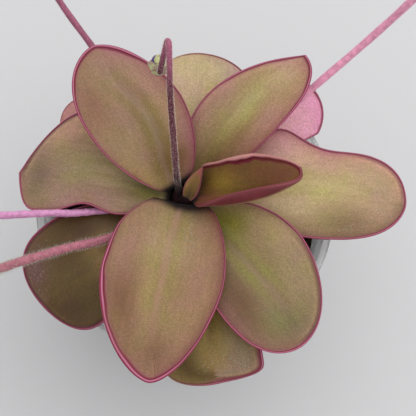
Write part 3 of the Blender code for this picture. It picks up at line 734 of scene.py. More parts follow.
def paint(look, u, out, across, inset):
    """The blade's colour at each point of a row."""
    colour = np.tile(look["blade"], (len(u), 1))
    for place, middle, length, width, patch_tone, strength in look["patches"]:
        weight = strength * np.exp(-(((u - place) / length) ** 2) - ((out - middle) / width) ** 2)
        colour = blend(colour, weight, patch_tone)
    rib = look["vein"]
    aside = (np.abs(across - rib_shift(look, u)) - rib["offset"]) / rib["width"]
    weight = rib["band_strength"] * np.exp(-(aside ** 2))
    weight = weight * np.clip(u / 0.12, 0, 1) * np.clip((0.95 - u) / 0.4, 0, 1)
    colour = blend(colour, weight, rib["bands"])
    for edge_look, share in zip(look["edges"], shares(across)):
        weight = share * edge_look["strength"] * np.exp(-((inset / edge_look["depth"]) ** 1.2))
        colour = blend(colour, weight, edge_look["flush"])
        # A turned-down band takes its fold colour, partly its own and partly painted shade where it faces
        # away from the light
        reach, fold_colour_and_shade, strength = edge_look["fold"][2:]
        turned_down = share * fold_amount(edge_look, u) * strength
        colour = blend(colour, turned_down * np.clip((reach - inset) / 0.8 + 0.5, 0, 1), fold_colour_and_shade)
        # A painted highlight along the shoulder where the margin turns down
        crest = np.exp(-(((inset - reach - 0.7) / 0.5) ** 2))
        colour = colour * (1 + 0.22 * turned_down * crest)[:, None]
    return np.hstack([colour, np.ones((len(u), 1))])


def leaf_half(shape, look, rib, side, phase):
    """One half's points as (stations, rows, 3), and its values per point."""
    sign = 1 if side == 0 else -1
    length = shape["length"]
    u = stations()
    edge = np.stack([u * length, sign * half_width(shape, u, side)], 1)
    spine = np.stack([(u - SPINE_SHORT * u ** 3) * length, 0 * u], 1)
    width = np.linalg.norm(spine - edge, axis=1)
    reach = np.minimum(RIM_REACH, 0.8 * width)
    own, other = look["edges"][side], look["edges"][1 - side]
    near_tip = 0.5 * np.clip((u - TIP_START) / (1 - TIP_START), 0, 1)
    size = np.interp(u, [0, 0.15, 0.55, 0.92], [0.6 * own["rim"][0], *own["rim"]])
    size = size + near_tip * (other["rim"][2] - own["rim"][2])
    size = size * (1 + 0.10 * np.sin(19 * u + 3 * phase) + 0.06 * np.sin(43 * u + phase))
    scale = np.clip(size, 0.12, 1.6) * reach / RIM_REACH
    pink = own["pink"] + near_tip * (other["pink"] - own["pink"])
    pink = pink * np.clip(0.9 + 0.16 * np.sin(9 * u + 2 * phase), 0, 1) * np.clip(u / 0.12, 0.2, 1)
    points, values = [], {"margin": [], "across": [], "rib": [], "under": [], "tint": []}

    def row(inset, height, raised, under):
        """Adds a row of points at a distance in from the margin."""
        share = inset / width
        flat = edge + (spine - edge) * share[:, None]
        across = flat[:, 1]
        lift = height * shape["thick"]
        for edge_look, weight in zip(look["edges"], shares(across)):
            drop, _, fold_reach = edge_look["fold"][:3]
            turned_down = np.clip(1 - inset / (fold_reach + 0.8), 0, 1) ** 1.6
            lift = lift - drop * weight * fold_amount(edge_look, u) * turned_down
        from_rib = across - rib_shift(look, u)
        if raised:
            lift = lift + raised * relief(shape, u, 1 - share, from_rib, phase)
        ear = look["ears"][side] * np.exp(-((u / EAR_REACH) ** 2))
        ear = ear * np.clip((np.abs(across) - 2) / 5, 0, 1)
        points.append(blade_points(shape, rib, flat[:, 0] - ear, across, lift, side))
        values["margin"].append(inset / scale)
        values["across"].append(across)
        values["rib"].append(from_rib)
        values["under"].append(np.full(len(u), under))
        values["tint"].append(paint(look, u, sign * (1 - share), across, inset))

    inner = RIM_REACH * scale
    for t in np.linspace(0, 1, TOP_ROWS) ** ROW_CROWDING:
        row(width - (width - inner) * t, HALF_BLADE + 0 * u, 1.0, 0.0)
    for inset, height in rim_section():
        above = HALF_BLADE if height > 0.3 else -HALF_BLADE
        row(inset * scale, above + (height - above) * scale, 0.0, float(height < 0.3))
    for t in np.linspace(0, 1, UNDER_ROWS):
        row(inner + (width - inner) * t, -HALF_BLADE - KEEL * t ** 3 + 0 * u, 0.5, 1.0)
    values = {key: np.stack(part, 1) for key, part in values.items()}
    values["pink"] = np.repeat(pink[:, None], len(points), 1)
    values["along"] = np.repeat(u[:, None], len(points), 1)
    return np.stack(points, 1), values


def leaf_mesh(name, shape, look, phase):
    """A whole leaf: its two halves, joined along the spine, and a wall across its foot."""
    rib = midrib(shape)
    points, faces, values = [], [], {}
    for side in (0, 1):
        grid, numbers = leaf_half(shape, look, rib, side, phase)
        start = sum(len(part) for part in points)
        rows, columns = grid.shape[:2]
        points.append(grid.reshape(-1, 3))
        for key, part in numbers.items():
            values.setdefault(key, []).append(part.reshape(rows * columns, *part.shape[2:]))
        faces += grid_faces(rows, columns, start)
        faces.append(list(range(start, start + columns)))
    values = {key: np.concatenate(part) for key, part in values.items()}
    mesh = mesh_from(name, np.vstack(points), faces, values)
    tidy(mesh)
    return mesh


# Groups of drops on a leaf: (side, along, in from the margin or out, their spreads, count)
DEW = {
    "leaf_back": [(1, 0.88, 0.45, 0.05, 0.18, 90), (1, 0.75, 0.3, 0.06, 0.15, 30)],
    "leaf_right": [
        (1, 0.72, 0.8, 0.10, 0.07, 70), (1, 0.9, 0.6, 0.04, 0.15, 30), (0, 0.93, 0.5, 0.03, 0.2, 25),
    ],
    "leaf_front": [(0, 0.17, 0.3, 0.05, 0.12, 70), (0, 0.3, 0.3, 0.06, 0.1, 30)],
    "leaf_front_under": [(0, 0.95, 0.5, 0.03, 0.2, 60), (1, 0.96, 0.3, 0.03, 0.2, 40)],
    "leaf_left": [(0, 0.75, 0.7, 0.10, 0.15, 40), (1, 0.25, 0.3, 0.08, 0.15, 20)],
    "leaf_upper_left": [(0, 0.22, 0.3, 0.06, 0.15, 30), (1, 0.5, 0.5, 0.15, 0.2, 20)],
    "leaf_lower_left": [(1, 0.88, 0.75, 0.06, 0.12, 60)],
    "leaf_upper_right": [(0, 0.75, 0.3, 0.10, 0.2, 20)],
    "leaf_front_right": [(1, 0.35, 0.2, 0.08, 0.15, 30), (0, 0.92, 0.4, 0.04, 0.2, 20)],
}
DEW_SEED = 7
DROP_SIZE = (0.05, 0.11)
DROP_LIFT = 0.05


def drop_points(places, sizes):
    """Small round drops of six sides at the given places."""
    rings = [ring_points(0.89, circle(6), height) for height in (0.45, -0.45)]
    ball = np.vstack([[(0, 0, 1)], *rings, [(0, 0, -1)]])
    faces = []
    for k in range(6):
        after = (k + 1) % 6
        faces += [[0, 1 + k, 1 + after], [1 + k, 7 + k, 7 + after, 1 + after], [13, 7 + after, 7 + k]]
    return gather([(place + size * ball, faces) for place, size in zip(places, sizes)])


def make_dew(name, shape, look, phase, material, rng):
    """Glistening drops that the leaf's own hairs hold, in loose groups on its upper face."""
    rib = midrib(shape)
    halves = [leaf_half(shape, look, rib, side, phase)[0] for side in (0, 1)]
    places = []
    for side, along, out, along_spread, out_spread, count in DEW[name]:
        u = np.clip(rng.normal(along, along_spread, count), 0.05, 0.985)
        out = np.clip(rng.normal(out, out_spread, count), 0.02, 0.9)
        across = out ** (1 / ROW_CROWDING) * (TOP_ROWS - 2)
        for s, r in zip(np.interp(u, stations(), np.arange(STATIONS + 1)), across):
            i, j = int(s), int(r)
            low, high = (
                halves[side][at, j] * (1 - r + j) + halves[side][at, j + 1] * (r - j) for at in (i, i + 1)
            )
            places.append(low * (1 - s + i) + high * (s - i))
    sizes = rng.uniform(*DROP_SIZE, len(places))
    points, faces = drop_points(np.array(places) + np.array([0, 0, DROP_LIFT]), sizes)
    add_piece(name + "_dew", mesh_from(name + "_dew", points, faces), material)


def dew_material():
    graph = Graph(
        "dew_finish", Roughness=0.08, Specular_IOR_Level=0.6, Transmission_Weight=0.4, IOR=1.34
    )
    graph.colour(graph.mix(graph.noise(3.0, 1.0), (0.72, 0.70, 0.62), (0.90, 0.90, 0.84)))
    return graph.material


def make_leaves():
    rng = np.random.default_rng(DEW_SEED)
    dew = dew_material()
    for number, (name, shape) in enumerate(LEAVES.items()):
        look_of, phase = LOOKS[name], PHASE_STEP * number
        mesh = leaf_mesh(name + "_blade", shape, look_of, phase)
        add_piece(name + "_blade", mesh, leaf_material(name, look_of), [name])
        if name in DEW:
            make_dew(name, shape, look_of, phase, dew, rng)


# ---------------------------------------------------------------- stalks


def smooth_path(knots, per_span):
    """Points on one smooth curve through the knots."""
    knots = np.array(knots, float)
    padded = np.vstack([2 * knots[0] - knots[1], knots, 2 * knots[-1] - knots[-2]])
    path = []
    for before, start, end, after in zip(padded, padded[1:], padded[2:], padded[3:]):
        slope, bend = end - before, 2 * before - 5 * start + 4 * end - after
        twist = 3 * start - before - 3 * end + after
        for t in np.linspace(0, 1, per_span, endpoint=False):
            path.append(start + 0.5 * (slope * t + bend * t ** 2 + twist * t ** 3))
    return np.array(path + [knots[-1]])


def path_frames(path):
    """Tangents and two steady normals along a path."""
    tangents = np.gradient(path, axis=0)
    tangents /= np.linalg.norm(tangents, axis=1)[:, None]
    normal = np.cross(tangents[0], (0.3, 0.2, 1.0))
    firsts, seconds = [], []
    for tangent in tangents:
        normal = normal - tangent * (normal @ tangent)
        normal = normal / np.linalg.norm(normal)
        firsts.append(normal)
        seconds.append(np.cross(tangent, normal))
    return tangents, np.array(firsts), np.array(seconds)


def tube(path, radii, sides=18):
    """Points and faces of a closed tube along a path."""
    _, first, second = path_frames(path)
    turns = circle(sides)
    rings = path[:, None] + radii[:, None, None] * (
        first[:, None] * np.cos(turns)[None, :, None] + second[:, None] * np.sin(turns)[None, :, None]
    )
    return rings.reshape(-1, 3), tube_faces(len(path), sides)


def hair_points(roots, outward, lengths, thick):
    """Closed three-sided spikes that stand on their roots."""
    count = len(roots)
    side = np.cross(outward, (0.31, 0.52, 0.79))
    side /= np.linalg.norm(side, axis=1)[:, None]
    other = np.cross(outward, side)
    points = []
    for turn in circle(3):
        points.append(roots - 0.05 * outward + thick * (side * math.cos(turn) + other * math.sin(turn)))
    points.append(roots + outward * lengths[:, None])
    points = np.stack(points, 1).reshape(-1, 3)
    faces = []
    for k in range(count):
        a = 4 * k
        faces += [[a, a + 1, a + 3], [a + 1, a + 2, a + 3], [a + 2, a, a + 3], [a + 2, a + 1, a]]
    return points, faces


HAIR_RADIUS = 0.025
HAIR_SEED = 40


def stalk_hairs(path, radii, count, length, rng):
    """Glandular hairs scattered evenly over a stalk, most of them nearly square to it."""
    tangents, first, second = path_frames(path)
    gaps = np.linalg.norm(np.diff(path, axis=0), axis=1)
    places = np.concatenate([[0], np.cumsum(gaps)])
    along = rng.uniform(0, places[-1], count)
    turn = rng.uniform(0, 2 * math.pi, count)

    def at(values):
        return np.stack([np.interp(along, places, values[:, k]) for k in range(3)], 1)

    out = at(first) * np.cos(turn)[:, None] + at(second) * np.sin(turn)[:, None]
    roots = at(path) + out * np.interp(along, places, radii)[:, None]
    lean = at(tangents) * rng.normal(0.0, 0.22, count)[:, None] + rng.normal(0, 0.12, (count, 3))
    outward = out + lean
    outward /= np.linalg.norm(outward, axis=1)[:, None]
    return hair_points(roots, outward, length * rng.uniform(0.55, 1.1, count), HAIR_RADIUS)


def stalk_material(name, colour, foot, top):
    """A stalk's finish. One with a foot has painted shade where it leaves the heart, and a pinker top."""
    graph = Graph(name + "_finish", Roughness=0.5, Specular_IOR_Level=0.3)
    streak = graph.noise(1.4)
    fine = graph.noise(0.25)
    dark = tuple(0.72 * c for c in colour)
    light = tuple(min(1.0, 1.25 * c + 0.02) for c in colour)
    shade = graph.mix(graph.fade(streak, 0.35, 0.65), dark, light)
    shade = graph.mix(graph.fade(fine, 0.3, 0.7), shade, colour)
    if foot:
        shade = graph.mix(graph.rise(top, HOOK_TOP), shade, HOOK_PINK)
    # Painted shade: the stalk's foot goes near black into the shade of the plant's heart
    graph.colour(graph.mix(graph.rise(foot, STALK_FOOT), HEART_SHADE, shade))
    graph.bump(fine, 0.1, 0.5)
    return graph.material


def hair_material(name, colour, foot):
    """The hairs' finish, with painted shade over the stalk's foot in the plant's heart."""
    graph = Graph(name, Roughness=0.4, Specular_IOR_Level=0.5)
    pale = tuple(min(1.0, 1.12 * c) for c in colour)
    shade = graph.mix(graph.noise(0.8), colour, pale)
    # Painted shade over the hairs at the stalk's foot, in the plant's heart
    graph.colour(graph.mix(graph.rise(foot, HAIR_FOOT), HEART_SHADE, shade))
    return graph.material


def make_stalks():
    for number, (name, (thick, thin, knots)) in enumerate(SCAPES.items()):
        colour, hair_colour, count, length = SCAPE_LOOKS[name]
        path = smooth_path(knots, 10)
        middle = STEM_MIDDLE[name]
        radii = np.interp(np.linspace(0, 1, len(path)), [0, 0.3, 0.9, 1], [thick, middle, middle, thin])
        radii = radii * (1 + 0.04 * np.sin(np.arange(len(path)) * 0.9 + number))
        points, faces = tube(path, radii)
        slot, foot = ("stalk_dark", knots[0][2]) if name == "scape_centre" else ("stalk", 0.0)
        mesh = mesh_from(name + "_stem", points, faces)
        add_piece(name + "_stem", mesh, stalk_material(name, colour, foot, path[:, 2].max()), [name])
        rng = np.random.default_rng(HAIR_SEED + number)
        mesh = mesh_from(name + "_hairs", *stalk_hairs(path, radii, count, length, rng))
        add_piece(name + "_hairs", mesh, hair_material(name + "_hair", hair_colour, foot))


# ---------------------------------------------------------------- flowers


def facing(knots):
    """The frame at the end of a stalk: where it ends, the way it points, its left and its up."""
    path = smooth_path(knots, 3)
    ahead = Vector(path[-1] - path[-2]).normalized()
    left = Vector((0, 0, 1)).cross(ahead).normalized()
    return [np.array(v) for v in (path[-1], ahead, left, ahead.cross(left))]


COROLLA_START = 5.9
THROAT_RADIUS = 2.1
THROAT_BACK_RADIUS = 2.3
MARGIN_SHARE = 0.985
LOBE_NOTCH = 4.2
LOBES = [(55, 5.0), (125, 5.0), (-158, 6.4), (-90, 7.2), (-22, 6.4)]
FLOWER_ANGLES = 150
# The spur, as (forward, drop, radius, lean)
SPUR = [
    (-1.2, 0, 2.3, 0), (-2.5, 0.4, 1.9, 0.3), (-3.0, 3.0, 1.1, 1.2), (-4.2, 6.2, 0.7, 1.1),
    (-6.2, 9.6, 0.4, 1.0),
]


def lobe_reach(turns):
    """The corolla's radius: two upper lobes and three longer lower ones, each round and notched."""
    reach = np.full_like(turns, LOBE_NOTCH - 0.9)
    for middle, extra in LOBES:
        away = (np.degrees(turns) - middle + 180) % 360 - 180
        reach = np.maximum(reach, LOBE_NOTCH + extra - (extra + 0.9) * (np.abs(away) / 33) ** 3.2)
    return reach


def even_rows(rows, count):
    """Rows of numbers at even steps along the given rows."""
    steps, given = np.linspace(0, 1, count), np.linspace(0, 1, len(rows))
    return np.stack([np.interp(steps, given, column) for column in zip(*rows)], 1)


def make_flower(name, frame_at):
    """An open flower: ruffled lobes, a pale throat, and a thin spur that hangs down behind."""
    place, ahead, left, up = frame_at
    turns = circle(FLOWER_ANGLES)
    lobes = lobe_reach(turns)
    ruffle = 0.22 * np.sin(11 * turns + 0.6) + 0.16 * np.sin(17 * turns + 2)
    rings, reaches, depths = [], [], []

    def ring(forward, drop, radii, lean, reach, depth):
        high = up * math.cos(lean) - ahead * math.sin(lean)
        middle = place + ahead * COROLLA_START - up * drop
        forward = np.broadcast_to(forward, turns.shape)
        side = left[None] * np.cos(turns)[:, None] + high[None] * np.sin(turns)[:, None]
        rings.append(middle + ahead[None] * forward[:, None] + side * radii[:, None])
        reaches.append(np.full(len(turns), reach))
        depths.append(np.full(len(turns), depth))

    def petal_ring(t, throat, sink):
        """A ring over the lobes, from the throat, 0, to the margin, 1."""
        dish = 0.2 + 0.85 * math.sin(math.pi * min(t, 0.75) / 1.5) - 0.5 * t ** 3 - sink
        radii = throat + (MARGIN_SHARE * lobes - throat) * t
        ring(dish + ruffle * t ** 2, 0.0, radii, 0.0, 0.12 + 0.88 * t, 0.0)

    for t in np.linspace(0, 1, 9):
        forward, radius = -2.3 + 2.5 * t, 0.8 + 1.3 * t ** 1.5
        ring(forward, 0.2 * (1 - t), radius + 0 * turns, 0.0, 0.12 * t, 1 - t)
    for t in np.linspace(0.06, 1, 22):
        petal_ring(t, THROAT_RADIUS, 0.0)
    ring(-0.05 + ruffle, 0.0, lobes, 0.0, 1.0, 0.0)
    for t in np.linspace(1, 0.1, 14):
        petal_ring(t, THROAT_BACK_RADIUS, 0.3 + 0.9 * (1 - t) ** 2)
    for forward, drop, radius, lean in even_rows(SPUR, 22):
        ring(forward, drop, radius + 0 * turns, lean, 0.1, 0.0)
    values = {
        "reach": np.concatenate(reaches), "depth": np.concatenate(depths),
        "turn": np.tile(turns, len(rings)),
    }
    mesh = mesh_from(name, np.vstack(rings), tube_faces(len(rings), FLOWER_ANGLES), values)
    tidy(mesh, 0.0001)
    return mesh


def petal_material():
    """Violet, with darker veins that fade outward, a pale throat and a yellowish tube."""
    graph = Graph("petal_finish", Roughness=0.42, Specular_IOR_Level=0.35, Sheen_Weight=0.2)
    reach, turn, depth = graph.attribute("reach"), graph.attribute("turn"), graph.attribute("depth")
    wander = graph.fade(graph.noise(2.5), 0.2, 0.8, -2.2, 2.2)
    wander = graph.plus(graph.times(turn, 34.0), wander)
    vein = graph.fade(graph.math("SINE", wander), 0.55, 1.0)
    vein = graph.times(vein, graph.fade(reach, 1.0, 0.25, 0.1, 0.8))
    colour = graph.mix(graph.noise(3.0, 3.0), (0.34, 0.13, 0.52), (0.46, 0.20, 0.62))
    colour = graph.mix(vein, colour, (0.16, 0.03, 0.30))
    colour = graph.mix(graph.fade(reach, 0.3, 0.12), colour, (0.80, 0.74, 0.80))
    colour = graph.mix(graph.fade(depth, 0.2, 0.8), colour, (0.55, 0.50, 0.20))
    graph.colour(colour)
    graph.bump(graph.noise(0.5), 0.15, 0.4)
    return graph.material


def sheet(frame_at, turn, rows, steps, thick):
    """A curved pointed sheet beside a flower's axis, as a closed shell.

    Rows are (forward, radius, half angle in degrees) from its foot to its tip.
    """
    place, ahead, left, up = frame_at
    forward, radius, half = even_rows(rows, steps).T
    across = np.linspace(-1, 1, 9)
    shells = []
    for inward in (0.0, thick):
        taper = np.clip(np.linspace(1.6, 0.0, steps), 0, 1)
        r = (radius - inward * taper)[:, None] - 0.25 * (1 - np.cos(across * 1.2))[None]
        angle = turn + np.radians(half)[:, None] * across[None]
        side = left * np.cos(angle)[..., None] + up * np.sin(angle)[..., None]
        shells.append(place + ahead * forward[:, None, None] + side * r[..., None])
    grid = np.concatenate([shells[0], shells[1][:, ::-1]], 1)
    return grid.reshape(-1, 3), tube_faces(steps, grid.shape[1])


def gather(parts):
    """One list of points and faces from several."""
    points, faces, start = [], [], 0
    for some, their in parts:
        points.append(some)
        faces += [[k + start for k in face] for face in their]
        start += len(some)
    return np.vstack(points), faces


# Sepals and petals are rows of (forward, radius, half angle), and cups are rows of (forward, radius)
SEPAL_ROWS = [(0.35, 1.1, 34), (1.0, 2.3, 32), (1.35, 3.2, 26), (1.5, 3.8, 16), (1.55, 4.15, 3)]
BUD_SEPAL_ROWS = [
    (0.35, 0.8, 36), (0.7, 1.75, 35), (1.4, 2.5, 32), (2.2, 2.95, 27), (2.9, 3.2, 19), (3.25, 3.3, 10),
    (3.4, 3.35, 2),
]
CALYX_CUP = [(0.3, 0.5), (0.45, 1.1), (0.8, 1.7), (1.05, 1.6), (1.0, 0.6)]
BUD_CUP = [(0.3, 0.4), (0.38, 0.75), (0.8, 1.6), (1.6, 2.15), (1.7, 1.9), (1.2, 0.6)]
# How far each of the bud's petals stands open
BUD_FLARES = (0.0, 0.5, 1.0, 0.4, 0.0)


def sepal_material(name, green, dark):
    graph = Graph(name, Roughness=0.5, Specular_IOR_Level=0.4, Sheen_Weight=0.2)
    blotch, fine = graph.noise(1.6), graph.noise(0.3)
    colour = graph.mix(graph.fade(blotch, 0.42, 0.62), green, dark)
    colour = graph.mix(graph.fade(fine, 0.35, 0.65, 0.0, 0.35), colour, (0.75, 0.72, 0.52))
    graph.colour(colour)
    graph.bump(fine, 0.12, 0.5)
    return graph.material


def sepal_cup(frame_at, rows, cup, steps, thick, sides):
    """Five sepals and the cup that they grow from, as one list of points and faces."""
    place, ahead, left, up = frame_at
    parts = [sheet(frame_at, math.radians(90 + 72 * k), rows, steps, thick) for k in range(5)]
    turns = circle(sides)
    ring = left * np.cos(turns)[:, None] + up * np.sin(turns)[:, None]
    points = np.vstack([place + ahead * forward + ring * radius for forward, radius in cup])
    return gather(parts + [(points, tube_faces(len(cup), sides))])


def make_flowers():
    petals = petal_material()
    green = sepal_material("sepal_finish", (0.24, 0.26, 0.08), (0.20, 0.08, 0.07))
    for name, (_, _, knots) in SCAPES.items():
        if name == "scape_centre":
            continue
        where = name.removeprefix("scape_")
        frame_at = facing(knots)
        mesh = make_flower(f"flower_{where}_petals", frame_at)
        add_piece(mesh.name, mesh, petals, [f"flower_{where}"])
        calyx = sepal_cup(frame_at, SEPAL_ROWS, CALYX_CUP, steps=12, thick=0.22, sides=24)
        mesh = mesh_from(f"calyx_{where}_sepals", *calyx)
        add_piece(mesh.name, mesh, green, [f"calyx_{where}"])


def make_bud():
    """The nodding bud: sepals cupped round folded violet petals."""
    frame_at = facing(SCAPES["scape_centre"][2])
    calyx = sepal_cup(frame_at, BUD_SEPAL_ROWS, BUD_CUP, steps=16, thick=0.3, sides=28)
    mesh = mesh_from("bud_sepals", *calyx)
    material = sepal_material("bud_sepal_finish", (0.42, 0.46, 0.17), (0.20, 0.07, 0.07))
    add_piece("bud_sepals", mesh, material, ["bud_calyx"])
    petals = []
    for k, flare in enumerate(BUD_FLARES):
        rows = [
            (1.6, 1.0, 40), (2.8, 2.2, 44), (4.2, 2.5 + 0.2 * flare, 42), (5.6, 2.2 + 0.8 * flare, 34),
            (6.7, 1.4 + 1.4 * flare, 20), (7.0, 0.8 + 1.8 * flare, 5),
        ]
        petals.append(sheet(frame_at, math.radians(126 + 72 * k), rows, steps=16, thick=0.3))
    graph = Graph("bud_petal_finish", Roughness=0.45)
    graph.colour(graph.mix(graph.noise(0.9, 3.0), (0.05, 0.02, 0.12), (0.13, 0.06, 0.26)))
    graph.bump(graph.noise(0.3), 0.1, 0.4)
    mesh = mesh_from("bud_petals", *gather(petals))
    add_piece("bud_petals", mesh, graph.material, ["bud_corolla"])


# ---------------------------------------------------------------- pot, mix and crown

POT_HEIGHT = 70.0
RIM_RADIUS = 45.0
WALL_TOP_RADIUS = 43.0
BASE_RADIUS = 32.0
WALL = 1.0
FLOOR = 1.4
LIP_HEIGHT = 3.4
LIP_INNER_RADIUS = 42.2
POT_SEGMENTS = 160
DRAIN_HOLES = 5
DRAIN_RADIUS = 3.0
DRAIN_CIRCLE = 20.0
MIX_EDGE_HEIGHT = 57.0
MIX_SIDE_GAP = CONTACT_GAP + 0.1
MIX_BORE = 5.6
MIX_ANGLES = 140
CROWN_ANGLES = 60
DRAIN_ANGLES = 24
GRAINS = 1300
GRAIN_SIZE = (0.35, 1.0)
GRAIN_SEED = 7


def turned(profile, segments):
    """Points and faces of a solid of revolution from (radius, height) points."""
    points, rings = [], []
    turns = circle(segments)
    for radius, height in profile:
        if radius == 0:
            rings.append([len(points)] * segments)
            points.append((0.0, 0.0, height))
            continue
        rings.append(list(range(len(points), len(points) + segments)))
        points += [(radius * math.cos(t), radius * math.sin(t), height) for t in turns]
    faces = []
    for low, high in zip(rings, rings[1:]):
        for k in range(segments):
            after = (k + 1) % segments
            face = list(dict.fromkeys([low[k], low[after], high[after], high[k]]))
            if len(face) > 2:
                faces.append(face)
    return np.array(points, float), faces


def wall_radius(height):
    """The outer radius of the pot's sloping wall."""
    return BASE_RADIUS + (WALL_TOP_RADIUS - BASE_RADIUS) * height / (POT_HEIGHT - LIP_HEIGHT)


def pot_profile():
    """The pot in section, from the middle of its underside round to the middle of its floor."""
    foot = POT_HEIGHT - LIP_HEIGHT
    profile = [(0, 0.5), (BASE_RADIUS - 4.0, 0.5), (BASE_RADIUS - 3.4, 0.0), (BASE_RADIUS - 0.9, 0.0)]
    for angle in np.radians(np.linspace(-60, 0, 4)):
        profile.append((BASE_RADIUS - 0.8 + 0.8 * math.cos(angle), 0.8 + 0.8 * math.sin(angle)))
    profile += [(wall_radius(h), h) for h in np.linspace(4, foot - 0.6, 14)]
    profile += [
        (WALL_TOP_RADIUS + 0.3, foot), (RIM_RADIUS - 0.5, foot + 0.15), (RIM_RADIUS - 0.1, foot + 0.6),
        (RIM_RADIUS, foot + 1.2), (RIM_RADIUS, POT_HEIGHT - 0.9),
    ]
    for angle in np.radians(np.linspace(15, 165, 9)):
        profile.append((RIM_RADIUS - 0.8 + 0.8 * math.cos(angle), POT_HEIGHT - 0.8 + 0.8 * math.sin(angle)))
    profile += [(43.3, POT_HEIGHT - 0.9), (43.1, POT_HEIGHT - 1.5), (42.6, POT_HEIGHT - 1.65)]
    profile += [(LIP_INNER_RADIUS, POT_HEIGHT - 1.9), (WALL_TOP_RADIUS - WALL + 0.05, foot)]
    profile += [(wall_radius(h) - WALL, h) for h in np.linspace(foot - 1, FLOOR + 0.8, 18)]
    profile += [(wall_radius(FLOOR) - WALL - 0.6, FLOOR), (0, FLOOR)]
    return profile


def plastic_material():
    graph = Graph(
        "clear_plastic_finish", Specular_IOR_Level=0.5, Base_Color=(0.93, 0.94, 0.94, 1.0),
        Transmission_Weight=0.76, IOR=1.46,
    )
    graph.roughness(graph.fade(graph.noise(14, 3.0), 0.3, 0.7, 0.3, 0.42))
    graph.bump(graph.noise(6), 0.05, 0.3)
    return graph.material


def make_pot():
    """The pot's shell, with its drainage holes cut through the floor."""
    mesh = mesh_from("pot_shell", *turned(pot_profile(), POT_SEGMENTS))
    tidy(mesh)
    mesh.set_sharp_from_angle(angle=math.radians(50))
    pot = add_piece("pot_shell", mesh, plastic_material(), ["pot"])
    rim = [(0, -2), (DRAIN_RADIUS, -2), (DRAIN_RADIUS, 4), (0, 4)]
    for k in range(DRAIN_HOLES):
        turn = 2 * math.pi * k / DRAIN_HOLES
        points, faces = turned(rim, DRAIN_ANGLES)
        points = points + np.array([DRAIN_CIRCLE * math.cos(turn), DRAIN_CIRCLE * math.sin(turn), 0])
        cutter_mesh = mesh_from("drain_cutter", points, faces)
        tidy(cutter_mesh)
        cutter = add_object("drain_cutter", cutter_mesh)
        cut = pot.modifiers.new("drain", "BOOLEAN")
        cut.operation = "DIFFERENCE"
        cut.object = cutter
        with bpy.context.temp_override(object=pot):
            bpy.ops.object.modifier_apply(modifier="drain")
        bpy.data.objects.remove(cutter, do_unlink=True)


def mix_height(radius, turn):
    """The potting mix's top: heaped at the crown, with lumps."""
    heap = np.interp(radius, [5.5, 9, 18, 30, 42], [63.4, 63.0, 59.6, 57.8, 57.0])
    x, y = radius * np.cos(turn), radius * np.sin(turn)
    lumps = np.sin(0.9 * x + 1) * np.cos(1.1 * y) + 0.6 * np.sin(2.1 * x - 1.3 * y)
    lumps = lumps + 0.4 * np.cos(3.3 * y + 2.2 * x)
    return heap - 0.55 + 0.35 * lumps


def mix_material():
    graph = Graph("potting_mix_finish", Roughness=0.95, Specular_IOR_Level=0.2)
    coarse, fine = graph.noise(2.2, 4.0), graph.noise(0.7, 3.0)
    colour = graph.mix(graph.fade(coarse, 0.4, 0.6), (0.012, 0.009, 0.007), (0.055, 0.038, 0.026))
    colour = graph.mix(graph.fade(fine, 0.62, 0.75), colour, (0.13, 0.10, 0.075))
    graph.colour(colour)
    graph.bump(graph.plus(coarse, fine), 0.8, 0.9)
    return graph.material


def make_mix():
    """The potting mix: a rough-sided plug just clear of the pot, heaped on top, and loose crumbs."""
    turns = circle(MIX_ANGLES)
    side = WALL + MIX_SIDE_GAP
    rows = []
    for height in np.linspace(FLOOR + 0.4, MIX_EDGE_HEIGHT - 1.6, 40):
        rough = 0.25 * np.sin(23 * turns + height) + 0.25 * np.sin(37 * turns - 1.7 * height) - 0.5
        rows.append(ring_points(wall_radius(height) - side + np.minimum(0, rough), turns, height))
    for radius in np.linspace(wall_radius(MIX_EDGE_HEIGHT) - side, MIX_BORE, 50):
        rows.append(ring_points(radius, turns, mix_height(radius, turns)))
    mesh = mesh_from("potting_mix_body", np.vstack(rows), tube_faces(len(rows), MIX_ANGLES))
    tidy(mesh)
    material = mix_material()
    add_piece("potting_mix_body", mesh, material, ["potting_mix"])
    add_piece("potting_mix_grains", mesh_from("potting_mix_grains", *make_grains()), material)


GRAIN_CORNERS = np.array([
    (0, 0, 1), (0.9, 0, 0.3), (0.25, 0.85, 0.3), (-0.75, 0.5, 0.3), (-0.75, -0.5, 0.3),
    (0.25, -0.85, 0.3), (0.7, 0.5, -0.5), (-0.3, 0.8, -0.5), (-0.85, 0, -0.5), (-0.3, -0.8, -0.5),
    (0.7, -0.5, -0.5), (0, 0, -0.9),
])


def grain_faces():
    """The triangles of a crumb: a fan on top, a zigzag belt between its two rings, and a fan below."""
    faces = []
    for k in range(5):
        high, low = 1 + k, 6 + k
        next_high, next_low = 1 + (k + 1) % 5, 6 + (k + 1) % 5
        faces += [(0, high, next_high), (high, low, next_high)]
        faces += [(next_high, low, next_low), (11, next_low, low)]
    return faces


def make_grains():
    """Crumbs of bark and grit lying over the mix."""
    rng = np.random.default_rng(GRAIN_SEED)
    faces, parts = grain_faces(), []
    top = wall_radius(MIX_EDGE_HEIGHT) - WALL - CONTACT_GAP - 1.2
    for _ in range(GRAINS):
        radius, turn = top * math.sqrt(rng.uniform(0.03, 1)), rng.uniform(0, 2 * math.pi)
        size = rng.uniform(*GRAIN_SIZE)
        stretch = size * rng.uniform(0.6, 1.3, 3)
        spin = rng.uniform(0, 2 * math.pi)
        x, y, z = (GRAIN_CORNERS * rng.uniform(0.8, 1.15, (12, 1)) * stretch).T
        cos, sin = math.cos(spin), math.sin(spin)
        spun = np.stack([x * cos - y * sin, x * sin + y * cos, z], 1)
        height = mix_height(radius, turn) + 0.2 * size
        parts.append((spun + (radius * math.cos(turn), radius * math.sin(turn), height), faces))
    return gather(parts)


